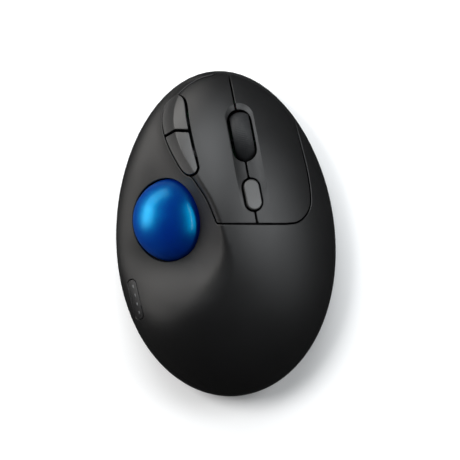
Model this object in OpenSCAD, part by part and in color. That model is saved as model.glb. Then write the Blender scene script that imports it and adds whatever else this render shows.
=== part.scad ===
// Thumb-operated wireless trackball mouse, built as an assembly of separate pieces.
// Frame: +Y is the front where the fingertips rest, +X is the right, +Z is up.
// The origin is on the desk, under the middle of the body's box.

/* [Body] */
// Length of the body from palm end to fingertip end
body_l = 134.6; // [128:0.2:140]
// Width of the body at its widest line
body_w = 90.4; // [88:0.2:94]
// Height of the dome above the widest line
dome_h = 36.5; // [35:0.5:38]
// Wall thickness of the casings
wall = 2.2; // [2:0.1:2.4]
// Gap between neighbouring casing pieces
seam_gap = 0.5; // [0.4:0.05:0.6]
// Colour of the casings
case_colour = "#2b2c2e"; // ["#2b2c2e", "#e8e8e8"]

/* [Ball] */
// Diameter of the ball
ball_d = 34; // [33.6:0.1:34.2]
// Tilt of the ball opening towards the thumb, in degrees
ball_tilt = 36; // [34:1:38]

/* [Scroll wheel] */
// Diameter of the scroll wheel over its tyre
wheel_d = 22; // [21.5:0.5:22]
// Width of the scroll wheel
wheel_w = 7.8; // [7:0.2:8]
// Heading of the wheel to the left of straight ahead, in degrees
wheel_heading = 10.5; // [10:0.5:11]

/* [Hidden] */
half_l = body_l / 2;
half_w = body_w / 2;
egg = -0.063;          // the outline narrows by this share towards the front
egg_turn = 3.6;        // the outline is turned this far to the left
egg_shift = [-0.3, 0.5];
rim_z = 11.5;          // height of the widest line
base_z = 1;            // underside of the base, above the desk
skirt_inset = 0.07;    // how far the skirt tucks in below the widest line
dome_power = 0.6;
dome_lean = [-0.16, -0.10];
around = 72;           // points around each ring
dome_rings = 15;
skirt_rings = 3;

// ---- Outer surface ----

function smooth(t) = let(s = min(1, max(0, t))) s * s * (3 - 2 * s);
function mix(a, b, t) = a + (b - a) * t;

// Piecewise cubic through [position, value] knots.
function slope(k, i) =
    i <= 0 || i >= len(k) - 1 ? 0 : (k[i + 1][1] - k[i - 1][1]) / (k[i + 1][0] - k[i - 1][0]);
function spline_span(k, x, i = 0) = i >= len(k) - 2 || x < k[i + 1][0] ? i : spline_span(k, x, i + 1);
function spline(k, x) =
    let(i = spline_span(k, x), h = k[i + 1][0] - k[i][0], t = min(1, max(0, (x - k[i][0]) / h)))
    mix(k[i][1], k[i + 1][1], smooth(t))
    + h * t * (1 - t) * ((1 - t) * slope(k, i) - t * slope(k, i + 1));

// The crest that divides the thumb scoop from the finger side, in the egg's own frame.
crest = [[-67, -20], [-34, -14], [-22, -6], [-14, -1.8], [-6, -0.2], [4, -1.6], [14, -4.9], [23, -9.7],
         [33, -14.7], [42, -17.4], [49, -17.8], [57, -15.6], [62, -10.4], [65, -2], [67, 3]];

function egg_width(y, in) = (half_w - in) * (1 + egg * y / half_l);
function to_egg(p) =
    let(d = p - egg_shift)
    [d.x * cos(egg_turn) + d.y * sin(egg_turn), -d.x * sin(egg_turn) + d.y * cos(egg_turn)];
function from_egg(p) =
    egg_shift + [p.x * cos(egg_turn) - p.y * sin(egg_turn), p.x * sin(egg_turn) + p.y * cos(egg_turn)];

// Finger and palm side: a leaning dome over the egg outline.
function dome_z(x, y, in) =
    let(r2 = pow(x / egg_width(y, in), 2) + pow(y / (half_l - in), 2))
    rim_z + (dome_h - in) * pow(max(0, 1 - r2), dome_power)
        * (1 + dome_lean.x * x / half_w + dome_lean.y * y / half_l);

// Thumb side: each row falls from the crest to the widest line in a shallow hollow.
function fall(t) = t < 0 ? 1 - 1.378 * t : pow(max(0, 1 - t), 0.75) * (1 - 0.2 * sin(180 * t));
function scoop_z(x, y, in) =
    let(c = spline(crest, y),
        edge = -egg_width(y, in) * sqrt(max(0, 1 - pow(y / (half_l - in), 2))),
        t = (c - x) / max(0.01, c - edge))
    rim_z + (dome_z(c, y, in) - rim_z) * fall(min(1, t));

function soft_min(a, b, k) =
    let(h = min(1, max(0, 0.5 + 0.5 * (b - a) / k))) mix(b, a, h) - k * h * (1 - h);

function outer_z(x, y, in) =
    let(u = dome_z(x, y, in),
        share = smooth((y + 42) / 38) * smooth((66 - y) / 4),
        k = mix(9, 1.4, smooth((y + 26) / 28)) * min(1, (u - rim_z) / 8))
    share <= 0 ? u : u + share * (soft_min(u, scoop_z(x, y, in), max(0.01, k)) - u);

function outer_point(turn, level, in) =
    let(y = (half_l - in) * sin(level) * sin(turn),
        x = egg_width(y, in) * sin(level) * cos(turn),
        p = from_egg([x, y]))
    [p.x, p.y, outer_z(x, y, in)];

function skirt_point(turn, s, in, low) =
    let(y = (half_l - in) * sin(turn), x = egg_width(y, in) * cos(turn),
        p = from_egg([x, y] * (1 - skirt_inset * s * s)))
    [p.x, p.y, mix(rim_z, low, s)];

// Closed solid of the whole body, drawn in by `in` and ending at height `low`.
module body_solid(in, low) {
    rings = [for (r = [1 : dome_rings]) 90 * (1 - pow(1 - r / dome_rings, 1.25))];
    points = concat(
        [outer_point(0, 0, in)],
        [for (l = rings) for (i = [0 : around - 1]) outer_point(360 * i / around, l, in)],
        [for (s = [1 : skirt_rings]) for (i = [0 : around - 1])
            skirt_point(360 * i / around, s / skirt_rings, in, low)]);
    n = dome_rings + skirt_rings;
    faces = concat(
        [for (i = [0 : around - 1]) [0, 1 + (i + 1) % around, 1 + i]],
        [for (r = [0 : n - 2]) for (i = [0 : around - 1])
            let(a = 1 + r * around + i, b = 1 + r * around + (i + 1) % around)
            each [[a, b, b + around], [a, b + around, a + around]]],
        [[for (i = [0 : around - 1]) 1 + (n - 1) * around + i]]);
    polyhedron(points, faces, convexity = 6);
}

function unit(v) = v / norm(v);
// Point in plan, u to the right of the wheel's slot and v ahead of it.
function wheel_plan(u, v) =
    let(c = cos(wheel_heading), s = sin(wheel_heading))
    wheel_xy + [u * c - v * s, u * s + v * c];
function top_z(p, in = 0) = let(e = to_egg(p)) outer_z(e.x, e.y, in);

// ---- Layout, in millimetres ----

far = 240;                      // larger than the body, for cutting blocks
film = 0.02;                    // clearance between pieces that rest on each other
pilot_r = 1.05;                 // bore that a small screw cuts its thread in
small_screw = [1.9, 1.3, 0.95]; // head radius, head height and shank radius
case_screw = [2.4, 1.8, 1.15];
thin_board = 1.2;               // thickness of the small circuit boards
sheet_t = 0.5;                  // thickness of the battery contacts
floor_z = base_z + 2;           // inside of the base
seam_slope = 0.075;             // the parting line rises towards the front
seam_y = 20;                    // it crosses the widest line here
shut_gap = 0.15;                // parting line between base and top case
lip_gap = 0.95;                 // room under the fingertip edge of the main buttons

ball_centre = [-20.8, 6, 24.8];
ball_lift = 0.12;               // film of air between ball and beads
opening_d = ball_d - 0.2;
bead_d = 2.5;
cup_in = ball_d / 2 + 0.7;
cup_out = cup_in + 1.9;
bead_boss_r = 2.6;
bead_ring = 50;                 // beads sit this far round from the cup's bottom
ear_reach = 16.5;
ear_r = 3;
ear_z = 8;                      // the cup's ears stand on bosses of this height
ear_t = 2;
ear_turns = [60, 180, 300];
sensor_turn = 30;
sensor_dip = 12;
eject_d = 10;

wheel_xy = [6.4, 39.9];           // middle of the wheel's slot
wheel_proud = 3.4;
trough_depth = 1.2;
trough_half = 5.9;
trough_lip = 0.5;               // the trough's cutter rises this far above the skin at its sides
slot_l = 21.4;
slot_w = 9.5;
wheel_back = 1.3;               // the wheel's centre lies behind the middle of its slot
wheel_right = 0.2;              // and to the right of it
wheel_at = let(p = wheel_plan(wheel_right, -wheel_back))
    [p.x, p.y, top_z(wheel_xy) - trough_depth + wheel_proud - wheel_d / 2];
tyre_t = 2.6;                   // depth of the rubber
axle_r = 1.25;
running = 0.05;                 // radial clearance of shafts in their bores
carrier_pin = [-14, -5];        // pivot of the carrier, along and above the wheel's centre
carrier_reach = 13.6;           // front edge of the carrier's foot, ahead of the wheel's centre
click_reach = 12.8;             // the wheel's switch, ahead of the wheel's centre

board_z = 10;
board_t = 1.6;
micro = [12.8, 5.8, 6.5];       // microswitch case
micro_travel = 0.6;
tact = [5, 5, 3];               // tact switch case
tact_travel = 0.8;
press_gap = 0.1;                // a button's post stands this far off its switch
left_switch_at = [-8, 46];
right_switch_at = [16.5, 41.5];
board_boss_r = 2.6;
board_screws_at = [[-12.5, 31], [-13.3, 49], [25.5, 31], [25.5, 10]];
left_pivot = [3.8, 0, 41.2];
right_pivot = [20, 0, 33.2];
trunnion_r = 1.3;
trunnion_l = 9.8;

rear_seam_y = 4.3;
split_through = [7.9, 29.4];    // the seam between the main buttons passes here
speed_at = [10.6, 16];            // middle of the speed key's hole
speed_size = [6.6, 12.8];
speed_shift = [0.3, 0.1];         // the key stands off the middle of its hole, for a wider gap on its left
speed_trim = 0.2;                 // and is this much smaller all round than the hole's room for it
speed_board_z = 33;

side_middle = [-18.8, 41];
side_press = unit([0.55, -0.4, -0.735]);
side_along = unit([-0.27, 0.81, -0.515] + 0.094 * side_press);
side_depth = 10;                // from the side buttons' skin to their board
side_pitch = 8;                 // each side switch is this far from the middle
side_proud = 0.6;

indicator_at = [-36.9, -26.4];
indicator_size = [3.4, 16.5];
indicator_turn = 14;
indicator_z = 8;                // underside of the indicator's board

cell_d = 14.5;
cell_l = 50.5;
bay = [[0.5, -55], [19.5, 1]];  // inside of the battery bay
cell_at = [10, bay[1].y - 0.52 - cell_l / 2, 11.3];
bay_top = 19;
bay_wall = 1.2;
door_t = 1.8;
door_pin_y = -0.6;
door_pin_z = 2;

dongle_bay = [[23.4, -29], [38.2, -5]];
dongle_top = 7.8;
dongle_cap = [14, 7, 6];
dongle_plug = [12, 11.7, 4.5];
dongle_corner = [23.8, -24.1, 1.3];

power_at = [5.5, 21];
power_travel = 3;
pair_at = [17, 21];

case_screws_at = [[-31, 29], [35, 0], [-20, -40], [29.5, -36.5]];
case_boss_z = 9;
case_boss_r = 3;
feet = [[-19, 45, 38], [19, 44, -42], [35.8, 11, 97], [-35, -16, -83], [-10.5, -53, -25], [25, -48.5, 51]];
foot_size = [14, 6];

// ---- Outlines of the casing pieces, seen from above ----

// Smooth closed or open curve through hand-placed points.
function curve(p, steps = 5) =
    [for (i = [0 : len(p) - 2])
        let(a = p[max(0, i - 1)], b = p[i], c = p[i + 1], d = p[min(len(p) - 1, i + 2)])
        for (k = [0 : steps - 1]) let(t = k / steps)
            b + 0.5 * t * (c - a + t * (2 * a - 5 * b + 4 * c - d + t * (3 * b - a - 3 * c + d)))];

function split_x(y) = split_through.x - tan(wheel_heading) * (y - split_through.y);
side_outer = [[-19.6, 57.2], [-23.2, 55], [-25.3, 51.5], [-26, 46], [-24.9, 40], [-22.9, 34.8], [-20.4, 30],
              [-17.4, 25.2], [-14.6, 23.4], [-12, 24.2], [-10.8, 26.4]];
side_split = [[-40, 34.6], [-24.6, 39.4], [-20.3, 41.6], [-5, 40.8]];
side_inner = [[-10.8, 26.4], [-11.4, 29.5], [-12.8, 35], [-14.1, 41], [-15.2, 47], [-16, 52.6], [-17.2, 55.6],
              [-19.6, 57.2]];
side_outline = concat(curve(side_outer), curve(side_inner));
side_tail = let(c = curve(side_outer)) [for (i = [len(c) - 10 : len(c) - 1]) c[i]];
left_front = [[-19.6, 57.2], [-17.9, 59.1], [-14.7, 61.8], [-10.6, 64], [-4.5, 66.2], [-2, 70]];
left_rear = [[-3.7, rear_seam_y], [-5.6, 9], [-8.2, 14.6], [-13.8, 23.1]];
left_outline = concat(
    curve(left_rear), side_tail, curve(side_inner), curve(left_front),
    [[-2, 80], [split_x(80), 80], [split_x(rear_seam_y), rear_seam_y]]);
right_edge = [[24, rear_seam_y], [28.8, 5], [32.2, 7.6], [34.2, 11.6], [34.4, 16.5], [33.5, 24], [31.6, 33],
              [29.9, 40], [28.6, 46], [28, 54]];
right_outline = concat(curve(right_edge), [[28, 80], [split_x(80), 80], [split_x(rear_seam_y), rear_seam_y]]);

module stadium(size) {
    hull()
        for (s = [-1, 1])
            translate([0, s * (size.y - size.x) / 2]) circle(d = size.x, $fn = 40);
}

// Vertical prism over an outline, with its walls drawn in by `back`.
module prism(back, outline) {
    linear_extrude(height = far / 3) offset(delta = -back) polygon(outline);
}

module above_seam(lift) {
    translate([0, seam_y, rim_z + lift]) rotate([atan(seam_slope), 0, 0])
        translate([-far / 2, -far / 2, 0]) cube([far, far, far / 2]);
}

module below_seam(drop) {
    translate([0, seam_y, rim_z - drop]) rotate([atan(seam_slope), 0, 0])
        translate([-far / 2, -far / 2, -far / 2]) cube([far, far, far / 2]);
}

// Skin of the casing, standing `proud` of the smooth body.
module skin(proud) {
    difference() {
        body_solid(-proud, base_z);
        body_solid(wall, base_z - 1);
    }
}

module at_wheel() { translate(wheel_at) rotate([0, 0, wheel_heading]) children(); }
module over_wheel() { translate([wheel_xy.x, wheel_xy.y, 0]) rotate([0, 0, wheel_heading]) children(); }
module along_u() { rotate([0, 90, 0]) children(); }
module at_ball() { translate(ball_centre) rotate([0, -ball_tilt, 0]) children(); }
module facing(v) { rotate([0, acos(v.z / norm(v)), atan2(v.y, v.x)]) children(); }

// ---- Casings ----

module ball_clearance() {
    at_ball() cylinder(d = opening_d, h = 40, $fn = 96);
    translate(ball_centre) sphere(d = ball_d + 1, $fn = 96);
}

module case_bosses() {
    intersection() {
        for (p = case_screws_at)
            translate([p.x, p.y, case_boss_z + shut_gap]) cylinder(r = case_boss_r, h = 40, $fn = 32);
        body_solid(wall / 2, base_z);
    }
}

module top_case() {
    color(case_colour)
        difference() {
            union() {
                intersection() {
                    skin(0);
                    above_seam(0);
                }
                case_bosses();
            }
            prism(-seam_gap / 2, left_outline);
            prism(-seam_gap / 2, right_outline);
            prism(-seam_gap / 2, side_outline);
            ball_clearance();
            indicator_prism(0.1);
            for (p = case_screws_at)
                translate([p.x, p.y, 0]) cylinder(r = 1.25, h = 20, $fn = 24);
        }
}

module indicator_prism(room) {
    translate([indicator_at.x, indicator_at.y, rim_z]) rotate([0, 0, indicator_turn])
        linear_extrude(height = far / 4) stadium([indicator_size.x + 2 * room, indicator_size.y + 2 * room]);
}

module indicator_window() {
    color("#3a3b3d") intersection() {
        skin(-0.3);
        indicator_prism(0);
    }
}

// The wheel's trough: its floor runs parallel to the skin, and it fades out behind the wheel.
trough_back = -30;
trough_front = 13.4;
trough_stations = [trough_back, -24, -18, -12, -6, 0, 6, 11, trough_front];
trough_sides = [-trough_half, -4.7, -2, 0, 2, 4.7, trough_half];
function trough_floor(u, v) =
    let(flank = smooth((trough_half - abs(u)) / 1.2),
        run = smooth((v - trough_back) / 17) * smooth((trough_front - v) / 2.4))
    top_z(wheel_plan(u, v)) + trough_lip - (trough_depth + trough_lip) * flank * run;

module trough() {
    nu = len(trough_sides);
    nv = len(trough_stations);
    low = [for (v = trough_stations) for (u = trough_sides)
        let(p = wheel_plan(u, v)) [p.x, p.y, trough_floor(u, v)]];
    high = [for (v = trough_stations) for (u = trough_sides) let(p = wheel_plan(u, v)) [p.x, p.y, 60]];
    n = nu * nv;
    edge = concat(
        [for (i = [0 : nu - 1]) i],
        [for (j = [1 : nv - 1]) j * nu + nu - 1],
        [for (i = [nu - 2 : -1 : 0]) (nv - 1) * nu + i],
        [for (j = [nv - 2 : -1 : 1]) j * nu]);
    polyhedron(concat(low, high), concat(
        [for (j = [0 : nv - 2]) for (i = [0 : nu - 2]) let(a = j * nu + i)
            each [[a, a + 1, a + nu + 1], [a, a + nu + 1, a + nu]]],
        [for (j = [0 : nv - 2]) for (i = [0 : nu - 2]) let(a = n + j * nu + i)
            each [[a, a + nu + 1, a + 1], [a, a + nu, a + nu + 1]]],
        [for (k = [0 : len(edge) - 1]) let(a = edge[k], b = edge[(k + 1) % len(edge)])
            each [[a, a + n, b + n], [a, b + n, b]]]), convexity = 4);
}

module speed_prism(room, shift = [0, 0]) {
    translate([speed_at.x + shift.x, speed_at.y + shift.y, 30]) rotate([0, 0, wheel_heading])
        linear_extrude(height = 30) stadium([speed_size.x + 2 * room, speed_size.y + 2 * room]);
}

module main_button(outline) {
    difference() {
        intersection() {
            skin(0);
            above_seam(lip_gap);
            prism(seam_gap / 2, outline);
        }
        trough();
        over_wheel() linear_extrude(height = far / 3) stadium([slot_w, slot_l]);
        speed_prism(seam_gap);
    }
}

// Post from a button down to its microswitch.
module switch_post(at) {
    bottom = board_z + board_t + micro.z + micro_travel + press_gap;
    intersection() {
        translate([at.x, at.y, bottom]) cylinder(r = 1.7, h = 30, $fn = 32);
        body_solid(wall / 2, base_z);
    }
}

// Arm behind a button, with the cross trunnion that it pivots on.
module pivot_arm(pivot, top) {
    arm_w = 6;
    intersection() {
        union() {
            translate([pivot.x - arm_w / 2, pivot.y - 1.2, pivot.z - trunnion_r])
                cube([arm_w, 12, 2 * trunnion_r]);
            translate([pivot.x - arm_w / 2, rear_seam_y + 1.2, pivot.z - trunnion_r])
                cube([arm_w, 5, top - pivot.z + 2]);
        }
        body_solid(wall / 2, base_z);
    }
    translate([pivot.x - trunnion_l / 2, pivot.y, pivot.z])
        along_u() cylinder(r = trunnion_r, h = trunnion_l, $fn = 32);
}

module left_button() {
    color(case_colour) {
        main_button(left_outline);
        switch_post(left_switch_at);
        pivot_arm(left_pivot, 47);
    }
}

module right_button() {
    color(case_colour) {
        main_button(right_outline);
        switch_post(right_switch_at);
        pivot_arm(right_pivot, 41);
    }
}

// Frame of the side buttons: x along them towards the front, z the way they press.
module at_side(along) {
    across = cross(side_press, side_along);
    at = [side_middle.x, side_middle.y, top_z(side_middle)] + along * side_along;
    multmatrix([for (k = [0 : 2]) [side_along[k], across[k], side_press[k], at[k]]]) children();
}

// The two side buttons share one outline, split across its middle.
module side_button(front) {
    stem = side_depth - board_t / 2 - tact.z - tact_travel - press_gap;
    color(case_colour) {
        intersection() {
            skin(side_proud);
            above_seam(lip_gap);
            prism(seam_gap / 2, side_outline);
            side_half(front);
        }
        at_side(front ? side_pitch : -side_pitch)
            translate([0, 0, 1.6]) cylinder(r = 1.4, h = stem - 1.6, $fn = 24);
    }
}

// Plan of everything ahead of the side split, or behind it.
module side_half(front) {
    end_y = front ? 70 : 10;
    back = front ? 1 : -1;
    linear_extrude(height = far / 3)
        polygon(concat([for (p = side_split) p + [0, back * seam_gap * 0.7]], [[-5, end_y], [-40, end_y]]));
}

module forward_button() { side_button(true); }
module back_button() { side_button(false); }

module speed_button() {
    color("#3c3d3f") {
        intersection() {
            difference() {
                body_solid(0.1, base_z);
                body_solid(wall + 0.6, base_z - 1);
            }
            speed_prism(-speed_trim, speed_shift);
        }
        intersection() {
            translate([speed_at.x, speed_at.y, speed_board_z + thin_board + tact.z + tact_travel + press_gap])
                cylinder(r = 1.6, h = 8, $fn = 24);
            body_solid(wall, base_z);
        }
    }
}

module bay_walls(box, top) {
    translate([box[0].x - bay_wall, box[0].y - bay_wall, base_z])
        cube([box[1].x - box[0].x + 2 * bay_wall, box[1].y - box[0].y + 2 * bay_wall,
              top + bay_wall - base_z]);
}

module bay_room(box, top) {
    translate([box[0].x, box[0].y, base_z - 1])
        cube([box[1].x - box[0].x, box[1].y - box[0].y, top - base_z + 1]);
}

module foot_pad(f, room, low, high) {
    translate([f.x, f.y, low]) rotate([0, 0, f.z + 90])
        linear_extrude(height = high - low) stadium([foot_size.y + 2 * room, foot_size.x + 2 * room]);
}

module base_case() {
    color(case_colour)
        difference() {
            union() {
                intersection() {
                    difference() {
                        body_solid(0, base_z);
                        body_solid(wall, floor_z);
                    }
                    below_seam(shut_gap);
                }
                intersection() {
                    union() {
                        bay_walls(bay, bay_top);
                        bay_walls(dongle_bay, dongle_top);
                        for (p = case_screws_at)
                            translate([p.x, p.y, base_z])
                                cylinder(r = case_boss_r + 0.4, h = case_boss_z - base_z, $fn = 32);
                        for (p = board_screws_at)
                            translate([p.x, p.y, base_z])
                                cylinder(r = board_boss_r, h = board_z - base_z, $fn = 32);
                        for (t = ear_turns)
                            translate([ball_centre.x, ball_centre.y, base_z]
                                      + ear_reach * [cos(t), sin(t), 0])
                                cylinder(r = ear_r, h = ear_z - 1, $fn = 32);
                        at_indicator()
                            for (y = [-5, 5])
                                translate([4.5, y, base_z])
                                    cylinder(r = 1.3, h = indicator_z - base_z, $fn = 24);
                    }
                    body_solid(wall + 0.25, base_z);
                }
            }
            bay_room(bay, bay_top);
            bay_room(dongle_bay, dongle_top);
            translate([bay[0].x - 0.8, door_pin_y, door_pin_z]) along_u()
                cylinder(r = 0.85, h = bay[1].x - bay[0].x + 1.6, $fn = 24);
            for (p = case_screws_at) {
                translate([p.x, p.y, 0]) cylinder(r = 1.5, h = far, $fn = 24);
                translate([p.x, p.y, 0]) cylinder(r = 2.8, h = 3.6, $fn = 32);
            }
            for (p = board_screws_at)
                translate([p.x, p.y, 4]) cylinder(r = pilot_r, h = far, $fn = 24);
            for (t = ear_turns)
                translate([ball_centre.x + ear_reach * cos(t), ball_centre.y + ear_reach * sin(t), 4])
                    cylinder(r = pilot_r, h = far, $fn = 24);
            for (x = cradle_posts)
                translate([x, cradle_screw_y, bay_top - 1]) cylinder(r = pilot_r, h = far, $fn = 24);
            translate([ball_centre.x, ball_centre.y, 0]) cylinder(d = eject_d, h = 12, $fn = 48);
            for (f = feet)
                foot_pad(f, 0.15, 0, base_z + 0.4);
            translate([power_at.x - 4, power_at.y - 1.6, 0]) cube([8, 3.2, 12]);
            translate([pair_at.x, pair_at.y, 0]) cylinder(r = 2.2, h = 12, $fn = 32);
        }
}

module rubber_feet() {
    color("#1b1b1c")
        for (f = feet)
            foot_pad(f, 0, 0, base_z + 0.35);
}

module screw(size, length) {
    head_r = size[0];
    head_h = size[1];
    shank_r = size[2];
    difference() {
        union() {
            translate([0, 0, -head_h]) cylinder(r = head_r, h = head_h, $fn = 32);
            translate([0, 0, -0.01]) cylinder(r = shank_r, h = length, $fn = 24);
        }
        for (a = [0, 90])
            rotate([0, 0, a])
                translate([-head_r * 0.65, -0.25, -head_h - 0.01]) cube([head_r * 1.3, 0.5, head_h * 0.55]);
    }
}

module case_screws() {
    color("#9a9da1")
        for (p = case_screws_at)
            translate([p.x, p.y, 3.55]) screw(case_screw, 13);
}

module board_screws() {
    color("#9a9da1")
        for (p = board_screws_at)
            translate([p.x, p.y, board_z + board_t + film]) rotate([180, 0, 0]) screw(small_screw, 6.5);
}

// ---- Ball group ----

module ball() {
    color("#1450b8") translate(ball_centre) sphere(d = ball_d, $fn = 96);
}

function bead_direction(turn) =
    let(s = sin(180 - bead_ring), c = cos(180 - bead_ring), x = s * cos(turn), y = s * sin(turn))
    [x * cos(ball_tilt) - c * sin(ball_tilt), y, x * sin(ball_tilt) + c * cos(ball_tilt)];
bead_reach = ball_d / 2 + bead_d / 2 + ball_lift;
function bead_centre(turn) = ball_centre + bead_direction(turn) * bead_reach;
bead_turns = [90, 210, 330];
bead_play = film;
bead_seat = bead_reach + bead_d / 2 + bead_play;    // bottom of the bore, from the ball's centre
module at_bead(turn, depth) {
    translate(ball_centre + bead_direction(turn) * depth) facing(bead_direction(turn)) children();
}
sensor_direction =
    [cos(sensor_dip) * cos(sensor_turn), cos(sensor_dip) * sin(sensor_turn), -sin(sensor_dip)];

module at_sensor(depth) {
    translate(ball_centre + sensor_direction * depth) facing(sensor_direction) children();
}

module ball_cup() {
    color("#1d1e20") difference() {
        union() {
            difference() {
                translate(ball_centre) sphere(r = cup_out, $fn = 96);
                at_ball() translate([-30, -30, 0.5]) cube([60, 60, 40]);
            }
            for (t = bead_turns)
                at_bead(t, cup_in + 0.9) cylinder(r = bead_boss_r, h = bead_seat - cup_in, $fn = 32);
            for (t = ear_turns)
                translate([ball_centre.x, ball_centre.y, ear_z + film]) rotate([0, 0, t]) {
                    translate([ear_reach, 0, 0]) cylinder(r = ear_r, h = ear_t, $fn = 32);
                    translate([9, -2, 0]) cube([ear_reach - 9, 4, ear_t]);
                }
        }
        translate(ball_centre) sphere(r = cup_in, $fn = 96);
        translate([ball_centre.x, ball_centre.y, 0]) cylinder(d = eject_d, h = 16, $fn = 48);
        at_sensor(cup_in - 2) cylinder(r = 3.2, h = 8, $fn = 32);
        at_sensor(cup_out - 0.2) translate([-8, -8, 0]) cube([16, 16, 10]);
        for (t = bead_turns)
            at_bead(t, cup_in - 2) cylinder(r = bead_d / 2 + bead_play, h = bead_seat - cup_in + 2, $fn = 32);
        for (t = ear_turns)
            translate([ball_centre.x, ball_centre.y, 0]) rotate([0, 0, t])
                translate([ear_reach, 0, 0]) {
                    cylinder(r = pilot_r, h = 12, $fn = 24);
                    translate([0, 0, ear_z + ear_t + film]) cylinder(r = 2.2, h = 12, $fn = 32);
                }
    }
}

module support_beads() {
    color("#e9e4da")
        for (t = bead_turns)
            translate(bead_centre(t)) sphere(d = bead_d, $fn = 32);
}

module cup_screws() {
    color("#9a9da1")
        for (t = ear_turns)
            translate([ball_centre.x, ball_centre.y, ear_z + ear_t + 0.05]
                      + ear_reach * [cos(t), sin(t), 0])
                rotate([180, 0, 0]) screw(small_screw, 5.6);
}

module sensor_lens() {
    color("#b9c4cc") at_sensor(cup_out - 0.15) {
        translate([-4.5, -4.5, 0]) cube([9, 9, 1.6]);
        translate([0, 0, -1.2]) cylinder(r = 3, h = 1.3, $fn = 32);
    }
}

module ball_sensor() {
    color("#17181a") at_sensor(cup_out + 1.5) translate([-4, -5, 0]) cube([8, 10, 2]);
}

module sensor_board() {
    color("#1f5a37") at_sensor(cup_out + 3.55) difference() {
        translate([-6, -7, 0]) cube([12, 14, thin_board]);
        for (s = [-1, 1])
            translate([4.6, s * 5.4, -1]) cylinder(r = 0.6, h = 4, $fn = 20);
    }
}

// ---- Wheel group ----

module wheel_hub() {
    color("#34363a") at_wheel() along_u() difference() {
        cylinder(r = wheel_d / 2 - tyre_t - film, h = wheel_w - 0.6, center = true, $fn = 64);
        cylinder(r = axle_r, h = 20, center = true, $fn = 32);
        for (s = [-1, 1])
            translate([0, 0, s * (wheel_w / 2 - 0.3)]) rotate_extrude($fn = 64)
                translate([3, -1.2]) square([wheel_d / 2 - 7.2, 2.4]);
    }
}

module wheel_tyre() {
    r = wheel_d / 2;
    w = wheel_w / 2;
    crown = 1.5;
    color("#232426") at_wheel() along_u() rotate_extrude($fn = 96)
        polygon(concat([[r - tyre_t, -w], [r - tyre_t, w]],
            [for (a = [60 : -15 : -60]) [r - crown + crown * cos(a * 1.5), w * sin(a) / sin(60)]]));
}

module wheel_axle() {
    color("#c3c7cc") at_wheel() translate([-9.2, 0, 0]) along_u() cylinder(r = axle_r, h = 16, $fn = 32);
}

cheek_u = 5.6;                  // middle of the carrier's side cheeks, either side of the wheel
cheek_t = 1.2;
pin_r = 1.4;                    // the carrier's pivot pin
knuckle = 2.4;                  // half the height of the metal round the pivot
foot_t = 2;
foot_w = board_z + board_t + micro.z + micro_travel + press_gap - wheel_at.z;

module carrier_side(s) {
    back = carrier_pin[0] - knuckle;
    translate([s * cheek_u - cheek_t / 2, 0, 0]) rotate([90, 0, 90]) linear_extrude(height = cheek_t)
        polygon([[back, carrier_pin[1] - knuckle], [carrier_reach, foot_w], [carrier_reach, foot_w + foot_t],
                 [3, 0.8], [1, 1.9], [-3, 1.9], [back, carrier_pin[1] + knuckle]]);
}

module wheel_carrier() {
    color("#2e3033") at_wheel() difference() {
        union() {
            for (s = [-1, 1])
                carrier_side(s);
            translate([-cheek_u - cheek_t / 2, carrier_reach - 1.3, foot_w])
                cube([2 * cheek_u + cheek_t, 1.3, foot_t]);
            translate([-8.6, carrier_pin[0], carrier_pin[1]]) along_u()
                cylinder(r = pin_r, h = 17.2, $fn = 32);
        }
        translate([-20, 0, 0]) along_u() cylinder(r = axle_r + running, h = 40, $fn = 32);
    }
}

module encoder_case() {
    color("#3c5a8a") at_wheel() difference() {
        translate([-9.5, -4.5, -6]) cube([3.28, 9, 9]);
        translate([-10, 0, 0]) along_u() cylinder(r = 2.6, h = 8, $fn = 32);
    }
}

module encoder_rotor() {
    color("#d8d8d2") at_wheel() translate([-9.4, 0, 0]) along_u() difference() {
        cylinder(r = 2.5, h = 2.9, $fn = 32);
        translate([0, 0, -1]) cylinder(r = axle_r, h = 5, $fn = 32);
    }
}

module wheel_bracket() {
    post_u = 7.95;
    post_t = 1.9;
    seat = board_z + board_t + film - wheel_at.z;
    color("#2e3033") at_wheel() difference() {
        union() {
            for (s = [-1, 1])
                translate([s * post_u - post_t / 2, carrier_pin[0] - knuckle, seat])
                    cube([post_t, 2 * knuckle, carrier_pin[1] + knuckle - seat]);
            translate([-post_u - post_t / 2, carrier_pin[0] - knuckle, seat])
                cube([2 * post_u + post_t, 2 * knuckle, 1.5]);
        }
        translate([-20, carrier_pin[0], carrier_pin[1]])
            along_u() cylinder(r = pin_r + running, h = 40, $fn = 32);
    }
}

// ---- Boards and switches ----

module main_board() {
    color("#1f5a37") difference() {
        translate([0, 0, board_z]) linear_extrude(height = board_t)
            polygon([[-16, 27.5], [-16, 51], [-9, 55.5], [12, 55.5],
                     [20.5, 48.5], [29, 34], [29, 5.5], [9.5, 5.5],
                     [9.5, 16], [-2.5, 16], [-2.5, 27.5]]);
        for (p = board_screws_at)
            translate([p.x, p.y, 0]) cylinder(r = 1.1, h = 20, $fn = 24);
    }
}

module board_chips() {
    top = board_z + board_t;
    color("#151618") {
        translate([17, 14, top]) cube([7, 7, 1]);
        translate([19, 24, top]) cube([5, 4, 1.1]);
        translate([12.5, 8, top]) cube([3.2, 1.6, 0.9]);
        translate([4, 34, top]) cube([4, 3, 1]);
    }
}

module micro_case(at, turn = 0) {
    color("#26282b") translate([at.x, at.y, board_z + board_t]) rotate([0, 0, turn]) difference() {
        translate([-micro.x / 2, -micro.y / 2, 0]) cube(micro);
        translate([0, 0, micro.z - 1.6]) cylinder(r = 1.3, h = 3, $fn = 24);
    }
}

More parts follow.
